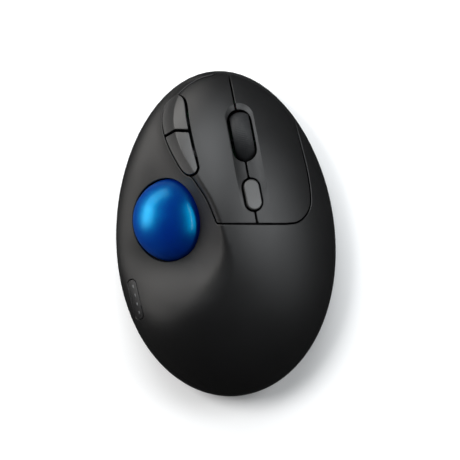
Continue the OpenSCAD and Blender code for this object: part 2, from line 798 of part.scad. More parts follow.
module micro_plunger(at) {
    color("#d9482b") translate([at.x, at.y, board_z + board_t + micro.z - 0.7])
        cylinder(r = 1.15, h = 0.7 + micro_travel, $fn = 24);
}

wheel_switch_at = wheel_plan(0, click_reach - wheel_back);
module left_switch() { micro_case(left_switch_at, 90); }
module right_switch() { micro_case(right_switch_at, 90); }
module wheel_switch() { micro_case(wheel_switch_at, wheel_heading); }
module left_plunger() { micro_plunger(left_switch_at); }
module right_plunger() { micro_plunger(right_switch_at); }
module wheel_plunger() { micro_plunger(wheel_switch_at); }

// Tact switch standing on z = 0, and its plunger.
module tact_case() {
    color("#26282b") difference() {
        translate([-tact.x / 2, -tact.y / 2, 0]) cube(tact);
        translate([0, 0, tact.z - 1.4]) cylinder(r = 1.8, h = 3, $fn = 24);
    }
}

module tact_plunger() {
    color("#c9c9c4") translate([0, 0, tact.z - 0.6]) cylinder(r = 1.65, h = 0.6 + tact_travel, $fn = 24);
}

module on_side_board(along) {
    at_side(along) translate([0, 0, side_depth - board_t / 2]) rotate([180, 0, 0]) children();
}

module side_board() {
    color("#1f5a37") at_side(0) translate([-12.5, -4, side_depth - board_t / 2 + film / 2])
        cube([25, 8, thin_board]);
}

module side_switches() {
    on_side_board(side_pitch) tact_case();
    on_side_board(-side_pitch) tact_case();
}

module forward_plunger() { on_side_board(side_pitch) tact_plunger(); }
module back_plunger() { on_side_board(-side_pitch) tact_plunger(); }

side_post_at = [-11.8, 36.6];
module side_bracket() {
    color("#2e3033") difference() {
        translate([side_post_at.x, side_post_at.y, board_z + board_t + film])
            cylinder(r = 2.2, h = 24, $fn = 32);
        at_side(0) translate([-40, -40, side_depth - board_t / 2 + thin_board + film - 60])
            cube([80, 80, 60]);
    }
}

module on_speed_board() { translate([speed_at.x, speed_at.y, speed_board_z + thin_board]) children(); }
module speed_board() {
    color("#1f5a37") translate([speed_at.x - 5.5, speed_at.y - 5, speed_board_z]) 
        cube([11, 10, thin_board - film / 2]);
}
module speed_switch() { on_speed_board() tact_case(); }
module speed_plunger() { on_speed_board() tact_plunger(); }

cradle_low = 28.5;              // underside of the bar that carries the buttons' pivots
cradle_w = 4.4;
cradle_foot = 1.8;
cradle_posts = [4, 16];
cradle_screw_y = -6;
lug_t = 1.6;

module button_cradle() {
    module lug(x, pivot) {
        translate([x - lug_t / 2, -cradle_w / 2, cradle_low])
            cube([lug_t, cradle_w, pivot.z + 2 - cradle_low]);
    }
    color("#2e3033") difference() {
        union() {
            for (s = [-1, 1]) {
                lug(left_pivot.x + s * (trunnion_l / 2 - 0.7), left_pivot);
                lug(right_pivot.x + s * (trunnion_l / 2 - 0.7), right_pivot);
            }
            translate([left_pivot.x - 5, -cradle_w / 2, cradle_low])
                cube([right_pivot.x - left_pivot.x + 10, cradle_w, 2.5]);
            translate([5.1, -cradle_w / 2, 30.5]) cube([11, 23.2, speed_board_z - film - 30.5]);
            for (x = cradle_posts)
                translate([x - 1.5, -cradle_w / 2, bay_top + bay_wall + film]) cube([3, cradle_w, 9]);
            translate([0.5, -9, bay_top + bay_wall + film]) cube([19, 11, cradle_foot]);
        }
        for (p = [left_pivot, right_pivot])
            translate([p.x - 8, p.y, p.z]) along_u() cylinder(r = trunnion_r + running, h = 16, $fn = 32);
        for (x = cradle_posts)
            translate([x, cradle_screw_y, 18]) cylinder(r = pilot_r, h = 8, $fn = 24);
    }
}

module cradle_screws() {
    color("#9a9da1")
        for (x = cradle_posts)
            translate([x, cradle_screw_y, bay_top + bay_wall + cradle_foot + 0.06])
                rotate([180, 0, 0]) screw(small_screw, 2.8);
}

// Flat flexible cable: a strip of constant thickness along a path in a vertical plane.
module ribbon(path, width) {
    color("#c8cbd0") rotate([90, 0, 0]) linear_extrude(height = width, center = true)
        polygon(concat(path, [for (i = [len(path) - 1 : -1 : 0]) path[i] + [0.25, 0.35]]));
}

module sensor_ribbon() {
    translate([0, 17.5, 0])
        ribbon([[2.6, 19], [4, 17.6], [6, 16.4], [7.4, 14.4], [8.6, 12.4], [10.2, 11.7], [13.4, 11.7]], 6);
}

// ---- Power ----

module battery_cell() {
    color("#c9a227") translate([cell_at.x, cell_at.y, cell_at.z]) rotate([90, 0, 0]) {
        translate([0, 0, -cell_l / 2 + 1.2]) cylinder(d = cell_d, h = cell_l - 1.2, $fn = 64);
        translate([0, 0, -cell_l / 2]) cylinder(d = 5.4, h = 1.3, $fn = 32);
    }
}

module contact_spring() {
    turns = 4;
    steps = 14;
    rear = cell_at.y - cell_l / 2;
    length = 3.6;
    wire = 0.35;
    n = turns * steps;
    pts = [for (i = [0 : n]) let(f = i / n, r = mix(5, 2.2, f))
        [cell_at.x + r * cos(360 * i / steps), rear - 0.45 - length * (1 - f),
         cell_at.z + r * sin(360 * i / steps)]];
    ring = [for (i = [0 : n]) let(a = 360 * i / steps, out = [cos(a), 0, sin(a)])
        for (k = [0 : 5]) pts[i] + wire * (out * cos(60 * k) + [0, 1, 0] * sin(60 * k))];
    color("#c9ccd1") polyhedron(ring, concat(
        [[5, 4, 3, 2, 1, 0]],
        [for (i = [0 : n - 1]) for (k = [0 : 5]) let(a = i * 6 + k, b = i * 6 + (k + 1) % 6)
            each [[a, b, b + 6], [a, b + 6, a + 6]]],
        [[for (k = [0 : 5]) n * 6 + k]]));
}

module positive_contact() {
    front = cell_at.y + cell_l / 2;
    color("#c9ccd1") translate([cell_at.x - 5, front + film, cell_at.z - 5]) cube([10, sheet_t, 10]);
}

module negative_contact() {
    color("#c9ccd1") translate([cell_at.x - 6, bay[0].y + film, cell_at.z - 6]) cube([12, sheet_t, 12]);
}

module battery_door() {
    room = 0.3;
    lo = [bay[0].x + room, bay[0].y + room];
    hi = [bay[1].x - room, door_pin_y];
    color(case_colour) difference() {
        union() {
            translate([lo.x, lo.y, base_z]) cube([hi.x - lo.x, hi.y - lo.y, door_t]);
            translate([lo.x, door_pin_y, door_pin_z]) along_u() cylinder(r = 1, h = hi.x - lo.x, $fn = 32);
            translate([bay[0].x - 0.6, door_pin_y, door_pin_z]) along_u()
                cylinder(r = 0.8, h = bay[1].x - bay[0].x + 1.2, $fn = 24);
        }
        for (k = [0 : 3])
            translate([cell_at.x - 4, lo.y + 4 + 1.5 * k, base_z - 0.5]) cube([8, 0.7, 0.9]);
        for (s = [-1, 1])
            translate([cell_at.x + s * 6 - 0.3, lo.y - 1, base_z - 1]) cube([0.6, 5, 5]);
    }
}

// ---- Underside controls and receiver ----

module power_slider() {
    color("#c4472d") translate([power_at.x - power_travel / 2, power_at.y, 0]) {
        difference() {
            translate([-2.3, -1.4, base_z + 0.3]) cube([4.6, 2.8, floor_z - base_z]);
            for (k = [-1 : 1])
                translate([k * 1.1 - 0.2, -2, base_z]) cube([0.4, 4, 0.6]);
        }
        translate([-4.5, -2.6, floor_z + 0.1]) cube([9, 5.2, 0.9]);
        translate([-0.7, -0.7, floor_z + 0.9]) cube([1.4, 1.4, 2.4]);
    }
}

module power_switch() {
    color("#9fa3a8") difference() {
        translate([power_at.x - 4.5, power_at.y - 2.4, 5.2]) cube([9, 4.8, board_z - film - 5.2]);
        translate([power_at.x - 3, power_at.y - 1, 5]) cube([6, 2, 2]);
    }
}

module pair_button() {
    color("#4a4c50") translate([pair_at.x, pair_at.y, 0]) {
        translate([0, 0, base_z + 0.4]) cylinder(r = 2, h = 2.4, $fn = 32);
        translate([0, 0, floor_z + 0.1]) cylinder(r = 3, h = 0.8, $fn = 32);
        translate([0, 0, floor_z + 0.5])
            cylinder(r = 1.2, h = board_z - tact.z - tact_travel - press_gap - floor_z - 0.5, $fn = 24);
    }
}

module under_board() { translate([pair_at.x, pair_at.y, board_z - 0.01]) rotate([180, 0, 0]) children(); }
module pair_switch() { under_board() tact_case(); }
module pair_plunger() { under_board() tact_plunger(); }

module receiver_cap() {
    color("#202124") difference() {
        translate(dongle_corner) cube(dongle_cap);
        for (k = [0 : 2])
            translate(dongle_corner + [3, 1.4 + 1.7 * k, -0.5]) cube([8, 0.6, 0.9]);
    }
}

module receiver_plug() {
    color("#b8bcc2") difference() {
        translate(dongle_corner + [1, dongle_cap.y + 0.01, 0.75]) cube(dongle_plug);
        translate(dongle_corner + [1.4, dongle_cap.y + 4, 1.15]) cube([11.2, 20, 1.8]);
    }
}

module at_indicator() {
    translate([indicator_at.x, indicator_at.y, 0]) rotate([0, 0, indicator_turn]) children();
}

module indicator_board() {
    color("#1f5a37") at_indicator() translate([0.6, -7.5, indicator_z + film / 2])
        cube([6, 15, thin_board]);
}

module indicator_lamps() {
    color("#e8e6da") at_indicator()
        for (k = [-1.5 : 1 : 1.5])
            translate([0.9, 3.6 * k - 0.8, indicator_z + thin_board + film]) cube([0.9, 1.6, 0.7]);
}

top_case();
base_case();
left_button();
right_button();
forward_button();
back_button();
speed_button();
indicator_window();
rubber_feet();
case_screws();
ball();
ball_cup();
support_beads();
cup_screws();
sensor_lens();
ball_sensor();
sensor_board();
wheel_hub();
wheel_tyre();
wheel_axle();
wheel_carrier();
encoder_case();
encoder_rotor();
wheel_bracket();
main_board();
board_chips();
board_screws();
left_switch();
right_switch();
wheel_switch();
left_plunger();
right_plunger();
wheel_plunger();
side_board();
side_switches();
side_bracket();
forward_plunger();
back_plunger();
speed_board();
speed_switch();
speed_plunger();
button_cradle();
cradle_screws();
sensor_ribbon();
battery_cell();
contact_spring();
positive_contact();
negative_contact();
battery_door();
power_slider();
power_switch();
pair_button();
pair_switch();
pair_plunger();
receiver_cap();
receiver_plug();
indicator_board();
indicator_lamps();
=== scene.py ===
"""Visual model of a thumb-operated trackball mouse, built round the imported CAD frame."""
import math

import bmesh
import bpy
import numpy as np
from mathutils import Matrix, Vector
from mathutils.geometry import delaunay_2d_cdt


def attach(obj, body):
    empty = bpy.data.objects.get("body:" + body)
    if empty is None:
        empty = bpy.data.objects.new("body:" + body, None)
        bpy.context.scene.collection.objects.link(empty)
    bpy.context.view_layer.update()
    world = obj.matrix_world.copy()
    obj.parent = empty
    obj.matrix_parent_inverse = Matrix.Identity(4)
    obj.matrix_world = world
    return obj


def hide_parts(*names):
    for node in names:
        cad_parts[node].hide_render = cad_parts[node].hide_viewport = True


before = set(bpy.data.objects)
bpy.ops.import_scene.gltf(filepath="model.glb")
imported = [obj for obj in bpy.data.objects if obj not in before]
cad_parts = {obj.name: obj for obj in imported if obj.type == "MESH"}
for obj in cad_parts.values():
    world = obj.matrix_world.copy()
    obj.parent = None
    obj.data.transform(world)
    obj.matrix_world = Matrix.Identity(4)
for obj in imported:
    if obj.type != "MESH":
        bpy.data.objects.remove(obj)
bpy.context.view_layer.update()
MM = 0.001

# ---------------------------------------------------------------------------
# Outer surface of the body, by the CAD model's own formulas, in millimetres
# ---------------------------------------------------------------------------
HALF_L, HALF_W = 67.3, 45.2  # half the length and width of the egg outline
EGG, EGG_TURN = -0.063, math.radians(3.6)  # how it narrows to the front, and how far it is turned
EGG_SHIFT = (-0.3, 0.5)
RIM_Z, BASE_Z, SKIRT_INSET = 11.5, 1.0, 0.07  # widest level, bottom, and narrowing to the bottom
DOME_H, DOME_POWER, LEAN = 36.5, 0.6, (-0.16, -0.10)  # over the rim, and its slopes to right and front
WALL, SEAM_GAP, LIP_GAP = 2.2, 0.5, 0.95
SEAM_SLOPE, SEAM_Y = 0.075, 20.0  # the parting plane rises to the front, and is RIM_Z high at this y
SKIRT_SPAN = 0.16  # how far the skirt reaches past the rim in the unrolled map
FALL_POWER, FALL_BOW, FALL_START = 0.75, 0.2, 1.378  # profile of the thumb's hollow, crest to rim
HOLLOW_REAR, HOLLOW_FRONT = (-42, 38), (66, 4)  # y of the hollow's two ends, and over how far they fade
CREST_REAR, CREST_FRONT, CREST_FADE = 9, 1.4, (-26, 28)  # rounding of the crest behind and in front
CREST_LOW = 8  # the crest gets sharper below this height over the rim
CREST = np.array([
    (-67, -20), (-34, -14), (-22, -6), (-14, -1.8), (-6, -0.2), (4, -1.6), (14, -4.9), (23, -9.7),
    (33, -14.7), (42, -17.4), (49, -17.8), (57, -15.6), (62, -10.4), (65, -2), (67, 3)], float)


def smooth(t):
    """0 to 1 with level ends."""
    s = np.clip(t, 0, 1)
    return s * s * (3 - 2 * s)


def mix(a, b, t):
    return a + (b - a) * t


def spline(knots, x):
    """Piecewise cubic through (position, value) knots."""
    n = len(knots)
    slope = np.zeros(n)
    slope[1:-1] = (knots[2:, 1] - knots[:-2, 1]) / (knots[2:, 0] - knots[:-2, 0])
    i = np.clip(np.searchsorted(knots[:, 0], x, side="right") - 1, 0, n - 2)
    h = knots[i + 1, 0] - knots[i, 0]
    t = np.clip((x - knots[i, 0]) / h, 0, 1)
    bend = h * t * (1 - t) * ((1 - t) * slope[i] - t * slope[i + 1])
    return mix(knots[i, 1], knots[i + 1, 1], smooth(t)) + bend


def egg_width(y, inset):
    return (HALF_W - inset) * (1 + EGG * y / HALF_L)


def to_egg(p):
    """Points of the plan in the egg's own directions."""
    dx, dy = p[:, 0] - EGG_SHIFT[0], p[:, 1] - EGG_SHIFT[1]
    c, s = math.cos(EGG_TURN), math.sin(EGG_TURN)
    return dx * c + dy * s, -dx * s + dy * c


def from_egg(x, y):
    c, s = math.cos(EGG_TURN), math.sin(EGG_TURN)
    return EGG_SHIFT[0] + x * c - y * s, EGG_SHIFT[1] + x * s + y * c


def dome_z(x, y, inset):
    r2 = (x / egg_width(y, inset)) ** 2 + (y / (HALF_L - inset)) ** 2
    lean = 1 + LEAN[0] * x / HALF_W + LEAN[1] * y / HALF_L
    return RIM_Z + (DOME_H - inset) * np.maximum(0, 1 - r2) ** DOME_POWER * lean


def fall(t):
    """Height of the hollow's side, from 1 at the crest to 0 at the rim."""
    inside = np.maximum(0, 1 - t) ** FALL_POWER * (1 - FALL_BOW * np.sin(np.pi * t))
    return np.where(t < 0, 1 - FALL_START * t, inside)


def scoop_z(x, y, inset):
    c = spline(CREST, y)
    edge = -egg_width(y, inset) * np.sqrt(np.maximum(0, 1 - (y / (HALF_L - inset)) ** 2))
    t = (c - x) / np.maximum(0.01, c - edge)
    return RIM_Z + (dome_z(c, y, inset) - RIM_Z) * fall(np.minimum(1, t))


def soft_min(a, b, k):
    """The smaller of two heights, rounded over k where they meet."""
    h = np.clip(0.5 + 0.5 * (b - a) / k, 0, 1)
    return mix(b, a, h) - k * h * (1 - h)


def outer_z(x, y, inset, crisp=1.0):
    """Height of the dome with the thumb's hollow in it. A small crisp makes the crest sharper."""
    u = dome_z(x, y, inset)
    share = (smooth((y - HOLLOW_REAR[0]) / HOLLOW_REAR[1])
             * smooth((HOLLOW_FRONT[0] - y) / HOLLOW_FRONT[1]))
    k = (mix(CREST_REAR, CREST_FRONT, smooth((y - CREST_FADE[0]) / CREST_FADE[1]))
         * crisp * np.minimum(1, (u - RIM_Z) / CREST_LOW))
    return u + share * (soft_min(u, scoop_z(x, y, inset), np.maximum(0.01, k)) - u)


# ---- Wheel trough, in the wheel's own plan directions, rounder and deeper than the CAD's ----
HEADING = math.radians(10.5)
WHEEL_XY = np.array([6.4, 39.9])
SLOT = (9.5, 21.4)
TROUGH_DEPTH, TROUGH_POWER = 1.75, 1.8
TROUGH_CORE, TROUGH_EDGE = 0.9, 4.8  # half width of its flat middle, and reach of its curved sides
TROUGH_FRONT, TROUGH_RIGHT = 7.6, 0.4
TROUGH_BACK, TROUGH_FADE = -31, 17

# the side keys: their crest is crisper than the casing's, and their outer flank stands up out of the hollow
RIDGE_CRISP, RIDGE_LIFT, RIDGE_REACH = 0.22, 1.8, 10.0


def wheel_plan(u, v):
    c, s = math.cos(HEADING), math.sin(HEADING)
    return np.stack([WHEEL_XY[0] + u * c - v * s, WHEEL_XY[1] + u * s + v * c], -1)


def wheel_uv(p):
    c, s = math.cos(HEADING), math.sin(HEADING)
    d = p - WHEEL_XY
    return d[:, 0] * c + d[:, 1] * s, -d[:, 0] * s + d[:, 1] * c


def trough_dip(p):
    """Depth of the trough: a shallow dish with crisp shoulders and a round front, faded out at the back."""
    u, v = wheel_uv(p)
    side = np.hypot(u - TROUGH_RIGHT, np.maximum(0, v - TROUGH_FRONT)) - TROUGH_CORE
    dish = 1 - np.clip(side / TROUGH_EDGE, 0, 1) ** TROUGH_POWER
    return TROUGH_DEPTH * dish * smooth((v - TROUGH_BACK) / TROUGH_FADE)


SKIRT_END = 1.2  # the skirt goes on this far, in spans, so that no outline runs off it
SQUARE_FROM, SQUARE_SPAN = 0.93, 0.35  # radius in the map where the inner skin is square to the outer one


def surface(d, inset=0.0, dip=None):
    """Points of the body's skin for points of the unrolled map.

    The map is a disc of radius 1 for the dome, with the skirt round it. dip is None, "trough" or "ridge".
    """
    rho = np.hypot(d[:, 0], d[:, 1])
    turn = np.arctan2(d[:, 1], d[:, 0])
    level = np.minimum(rho, 1) * np.pi / 2
    y = (HALF_L - inset) * np.sin(level) * np.sin(turn)
    x = egg_width(y, inset) * np.sin(level) * np.cos(turn)
    z = outer_z(x, y, inset, RIDGE_CRISP if dip == "ridge" else 1.0)
    if dip == "ridge":
        z = z + RIDGE_LIFT * np.clip((spline(CREST, y) - x) / RIDGE_REACH, 0, 1)
    s = np.clip((rho - 1) / SKIRT_SPAN, 0, SKIRT_END)
    shrink = 1 - SKIRT_INSET * s * s
    px, py = from_egg(x * shrink, y * shrink)
    z = np.where(rho > 1, mix(RIM_Z, BASE_Z, s), z)
    if dip == "trough":
        z = z - trough_dip(np.stack([px, py], -1))
    return np.stack([px, py, z], -1)


def unroll(p, inset=0.0):
    """Map points for points of the plan."""
    x, y = to_egg(np.asarray(p, float))
    across, along = x / egg_width(y, inset), y / (HALF_L - inset)
    r = np.hypot(across, along)
    turn = np.arctan2(along, across)
    rho = np.where(r <= 1, np.arcsin(np.minimum(r, 1)) / (np.pi / 2), r)
    return np.stack([rho * np.cos(turn), rho * np.sin(turn)], -1)


def beneath(d, inset, deep):
    """Map points for the inner skin: straight below the outer ones on top, square to it near the rim."""
    straight = unroll(surface(d, inset)[:, :2], deep)
    share = smooth((SQUARE_FROM - np.hypot(d[:, 0], d[:, 1])) / SQUARE_SPAN)[:, None]
    return mix(d, straight, share)


MAP_STEP = 8e-4  # step in the map for slopes of the skin


def skin_frame(d, inset, dip):
    """Points, their Jacobian columns and unit normals."""
    h = MAP_STEP
    step = np.array([[h, 0], [0, h]])
    du = (surface(d + step[0], inset, dip) - surface(d - step[0], inset, dip)) / (2 * h)
    dv = (surface(d + step[1], inset, dip) - surface(d - step[1], inset, dip)) / (2 * h)
    n = np.cross(du, dv)
    n /= np.linalg.norm(n, axis=1, keepdims=True)
    return surface(d, inset, dip), du, dv, n


# ---------------------------------------------------------------------------
# Plan outlines
# ---------------------------------------------------------------------------
def curve(points, steps=8):
    """Smooth open curve through given points."""
    p = np.asarray(points, float)
    out = []
    for i in range(len(p) - 1):
        a, b, c, e = p[max(0, i - 1)], p[i], p[i + 1], p[min(len(p) - 1, i + 2)]
        for k in range(steps):
            t = k / steps
            cubic = 3 * b - a - 3 * c + e
            out.append(b + 0.5 * t * (c - a + t * (2 * a - 5 * b + 4 * c - e + t * cubic)))
    return out


def dense(poly, gap=0.3):
    """Closed outline with points no more than gap apart."""
    p = np.asarray(poly, float)
    out = []
    for a, b in zip(p, np.roll(p, -1, 0)):
        n = max(1, int(math.ceil(np.linalg.norm(b - a) / gap)))
        out += [a + (b - a) * k / n for k in range(n)]
    return np.array(out)


def signed_area(p):
    x, y = p[:, 0], p[:, 1]
    return 0.5 * np.sum(x * np.roll(y, -1) - y * np.roll(x, -1))


MITRE_LIMIT = 0.35  # keeps sharp corners from running far out


def grown(poly, by):
    """Closed outline moved outwards by a distance, with its corners mitred."""
    p = np.asarray(poly, float)
    keep = np.linalg.norm(p - np.roll(p, 1, 0), axis=1) > 1e-6
    p = p[keep]
    if signed_area(p) < 0:
        p = p[::-1]
    fwd = np.roll(p, -1, 0) - p
    fwd /= np.linalg.norm(fwd, axis=1, keepdims=True)
    out = np.stack([fwd[:, 1], -fwd[:, 0]], -1)
    prev = np.roll(out, 1, 0)
    m = out + prev
    m /= np.maximum(MITRE_LIMIT, np.sum(m * m, 1, keepdims=True) / 2)
    return p + m * by


def stadium(centre, size, heading=HEADING, room=0.0, arc=24):
    """Outline with two straight sides and round ends. size is width and length."""
    w, l = size[0] / 2 + room, size[1] / 2 + room
    pts = []
    for end in (1, -1):
        for k in range(arc + 1):
            a = math.pi * k / arc
            pts.append((end * w * math.cos(a), end * (l - w + w * math.sin(a))))
    c, s = math.cos(heading), math.sin(heading)
    return np.array([(centre[0] + u * c - v * s, centre[1] + u * s + v * c) for u, v in pts])


REAR_SEAM_Y = 4.3  # rear edge of the main buttons
SPLIT = (7.9, 29.4)  # a point of the line between them, which runs along the wheel's heading
FAR_Y = 80  # outlines run on to here, past the front of the body
SPEED_XY, SPEED_SIZE = (10.6, 16.0), (6.6, 12.8)
SPEED_SHIFT, SPEED_TRIM = (0.3, 0.1), 0.2  # the speed button's cap against its well's outline
PILL_XY, PILL_SIZE, PILL_TURN = (-36.9, -26.4), (3.4, 16.5), math.radians(14)  # the indicator window
PILL_GAP = 0.22
GUIDE_U, GUIDE_ROW, GUIDE_SIZE = 0.4, (5.4, 1.8, -1.8, -5.4), (0.55, 1.3)  # across and along the window
SLOT_ROOM = 0.1  # the wheel's slot is this much wider all round than the CAD's
KEY_GAP = 0.34  # from a button's edge to the middle of its seam
KEY_SPLIT_GAP = 0.6  # the same between the two side keys
SIDE_EXTRA = 0.32  # the side keys stand this much further from the left button than from the casing


def split_x(y):
    return SPLIT[0] - math.tan(HEADING) * (y - SPLIT[1])


side_outer = curve([
    (-19.6, 57.2), (-23.2, 55), (-25.3, 51.5), (-26, 46), (-24.9, 40), (-22.9, 34.8), (-20.4, 30),
    (-17.4, 25.2), (-14.6, 23.4), (-12, 24.2), (-10.8, 26.4)])
side_inner = curve([
    (-10.8, 26.4), (-11.4, 29.5), (-12.8, 35), (-14.1, 41), (-15.2, 47), (-16, 52.6), (-17.2, 55.6),
    (-19.6, 57.2)])
side_outline = side_outer + side_inner
left_front = curve([(-19.6, 57.2), (-17.9, 59.1), (-14.7, 61.8), (-10.6, 64), (-4.5, 66.2), (-2, 70)])
left_rear = curve([(-3.7, REAR_SEAM_Y), (-5.6, 9), (-8.2, 14.6), (-13.8, 23.1)])
middle_line = [(split_x(FAR_Y), FAR_Y), (split_x(REAR_SEAM_Y), REAR_SEAM_Y)]
left_outline = left_rear + side_outer[-16:] + side_inner + left_front + [(-2, FAR_Y)] + middle_line
right_edge = curve([
    (24, REAR_SEAM_Y), (28.8, 5), (32.2, 7.6), (34.2, 11.6), (34.4, 16.5), (33.5, 24), (31.6, 33),
    (29.9, 40), (28.6, 46), (28, 54)])
right_outline = right_edge + [(28, FAR_Y)] + middle_line
side_split = np.array([(-40, 34.6), (-24.6, 39.4), (-20.3, 41.6), (-5, 40.8)])
SIDE_LIMITS = (10, 70)  # y past the rear and the front end of the side keys


def plan_area(poly, by):
    """Map points of a plan outline, moved outwards by a distance."""
    return unroll(dense(grown(poly, by)))


HALVINGS = 40  # for places found by halving an interval


def seam_ring(lift, count=900):
    """Map points where the skin crosses the parting plane, raised by lift."""
    turn = np.arange(count) * 2 * np.pi / count
    unit = np.stack([np.cos(turn), np.sin(turn)], -1)
    low, high = np.full(count, 0.6), np.full(count, 1 + SKIRT_SPAN)
    for _ in range(HALVINGS):
        mid = (low + high) / 2
        p = surface(unit * mid[:, None])
        above = p[:, 2] > RIM_Z + lift + SEAM_SLOPE * (p[:, 1] - SEAM_Y)
        low, high = np.where(above, mid, low), np.where(above, high, mid)
    return unit * low[:, None]


BALL = np.array([-20.8, 6.0, 24.8])
BALL_D = 34.0
BALL_TILT = math.radians(36)  # the socket's axis leans to the left by this much
OPENING_TRIM, OPENING_ROOM = 0.2, 1.0  # a bore this much narrower than the ball, and a sphere this much wider


def ball_ring(count=480):
    """Map points of the ball opening's edge."""
    axis = np.array([-math.sin(BALL_TILT), 0, math.cos(BALL_TILT)])
    middle = unroll([BALL[:2] + axis[:2] * 8])[0]  # any point well inside the opening does
    turn = np.arange(count) * 2 * np.pi / count
    unit = np.stack([np.cos(turn), np.sin(turn)], -1)
    low, high = np.full(count, 0.0), np.full(count, 0.6)
    for _ in range(HALVINGS):
        mid = (low + high) / 2
        d = surface(middle + unit * mid[:, None]) - BALL
        off = np.linalg.norm(d - np.outer(d @ axis, axis), axis=1)
        opened = (((off < (BALL_D - OPENING_TRIM) / 2) & (d @ axis > 0))
                  | (np.linalg.norm(d, axis=1) < (BALL_D + OPENING_ROOM) / 2))
        low, high = np.where(opened, mid, low), np.where(opened, high, mid)
    return middle + unit * low[:, None]


def region(inside, outside):
    """Boundary loops, interior on the left, of what lies in every inside outline and in no outside one."""
    outlines = list(inside) + list(outside)
    verts, faces = [], []
    for o in outlines:
        faces.append(list(range(len(verts), len(verts) + len(o))))
        verts += [Vector(p) for p in (o if signed_area(o) > 0 else o[::-1])]
    v, _, tris, _, _, source = delaunay_2d_cdt(verts, [], faces, 0, 1e-6)
    want, avoid = set(range(len(inside))), set(range(len(inside), len(outlines)))
    edges = {}
    for tri, s in zip(tris, source):
        s = set(s)
        if want - s or avoid & s:
            continue
        a, b, c = (v[i] for i in tri)
        if (b - a).cross(c - a) < 0:
            tri = tri[::-1]
        for i in range(3):
            edges[(tri[i], tri[(i + 1) % 3])] = True
    follow = {}
    for a, b in edges:
        if (b, a) not in edges:
            follow.setdefault(a, []).append(b)
    loops = []
    while follow:
        start = next(iter(follow))
        loop, at = [], start
        while at in follow:
            loop.append(at)
            nxt = follow[at].pop()
            if not follow[at]:
                del follow[at]
            at = nxt
        loops.append(np.array([v[i][:2] for i in loop]))
    return loops


CORNER_ROUNDS = 2


def even_loop(loop, gap, inset, dip):
    """The loop with evenly spaced points on the skin and slightly rounded corners."""
    p = surface(loop, inset, dip)
    seg = np.linalg.norm(np.roll(p, -1, 0) - p, axis=1)
    total = seg.sum()
    n = max(12, int(round(total / gap)))
    along = np.concatenate([[0], np.cumsum(seg)])
    closed = np.vstack([loop, loop[:1]])
    at = np.arange(n) * total / n
    out = np.stack([np.interp(at, along, closed[:, k]) for k in range(2)], -1)
    for _ in range(CORNER_ROUNDS):
        out = 0.25 * np.roll(out, 1, 0) + 0.5 * out + 0.25 * np.roll(out, -1, 0)
    return out, total


def add_object(mesh):
    """Puts a mesh in the scene, smooth-shaded, as an object of its own name."""
    mesh.polygons.foreach_set("use_smooth", [True] * len(mesh.polygons))
    obj = bpy.data.objects.new(mesh.name, mesh)
    bpy.context.scene.collection.objects.link(obj)
    return obj


def within(points, loop):
    """Which points lie inside a closed loop."""
    hit = np.zeros(len(points), bool)
    x, y = points[:, 0], points[:, 1]
    for (ax, ay), (bx, by) in zip(loop, np.roll(loop, -1, 0)):
        if ay != by:
            hit ^= ((ay > y) != (by > y)) & (x < ax + (y - ay) * (bx - ax) / (by - ay))
    return hit


def near(points, others, reach):
    """Which points lie within reach of any of the others."""
    hit = np.zeros(len(points), bool)
    cell = {}
    keys = np.floor(others / reach).astype(int)
    for k, (i, j) in enumerate(keys):
        cell.setdefault((i, j), []).append(k)
    for n, p in enumerate(points):
        i, j = int(math.floor(p[0] / reach)), int(math.floor(p[1] / reach))
        for di in (-1, 0, 1):
            for dj in (-1, 0, 1):
                for k in cell.get((i + di, j + dj), ()):
                    if (others[k][0] - p[0]) ** 2 + (others[k][1] - p[1]) ** 2 < reach * reach:
                        hit[n] = True
                        break
    return hit


MAP_MM = 64.0  # millimetres of skin to one unit of the map, roughly
SHORT_LOOP = 2.5  # shorter boundary loops are slivers between two outlines, and are left out
ROW_HEIGHT = 0.866  # of a grid of even triangles
ROW_CLEAR, RING_CLEAR, GRID_CLEAR = 0.72, 0.55, 0.5  # least distances: row to ring, grid to ring, grid to row


def inward(loop, inset, dip):
    """The way into the area from its boundary: unit vectors in space, and the map's step per millimetre."""
    p, du, dv, n = skin_frame(loop, inset, dip)
    t = np.roll(p, -1, 0) - np.roll(p, 1, 0)
    t /= np.linalg.norm(t, axis=1, keepdims=True)
    b = np.cross(n, t)
    b /= np.linalg.norm(b, axis=1, keepdims=True)
    g11, g12, g22 = (du * du).sum(1), (du * dv).sum(1), (dv * dv).sum(1)
    det = g11 * g22 - g12 * g12
    bu, bv = (b * du).sum(1), (b * dv).sum(1)
    return b, np.stack([(g22 * bu - g12 * bv) / det, (g11 * bv - g12 * bu) / det], -1)


def fill_points(ring_points, rows, step, edge_gap):
    """An even grid of map points, and the feature rows, both clear of the rings."""
    gap = step / MAP_MM
    low, high = ring_points.min(0), ring_points.max(0)
    xs = np.arange(low[0], high[0], gap)
    ys = np.arange(low[1], high[1], gap * ROW_HEIGHT)
    grid = np.array([(x + (0.5 * gap if j % 2 else 0), y) for j, y in enumerate(ys) for x in xs])
    if len(rows):
        rows = rows[~near(rows, ring_points, ROW_CLEAR * edge_gap / MAP_MM)]
        grid = grid[~near(grid, rows, gap * GRID_CLEAR)]
    grid = grid[~near(grid, ring_points, gap * RING_CLEAR)]
    return np.vstack([grid, rows])


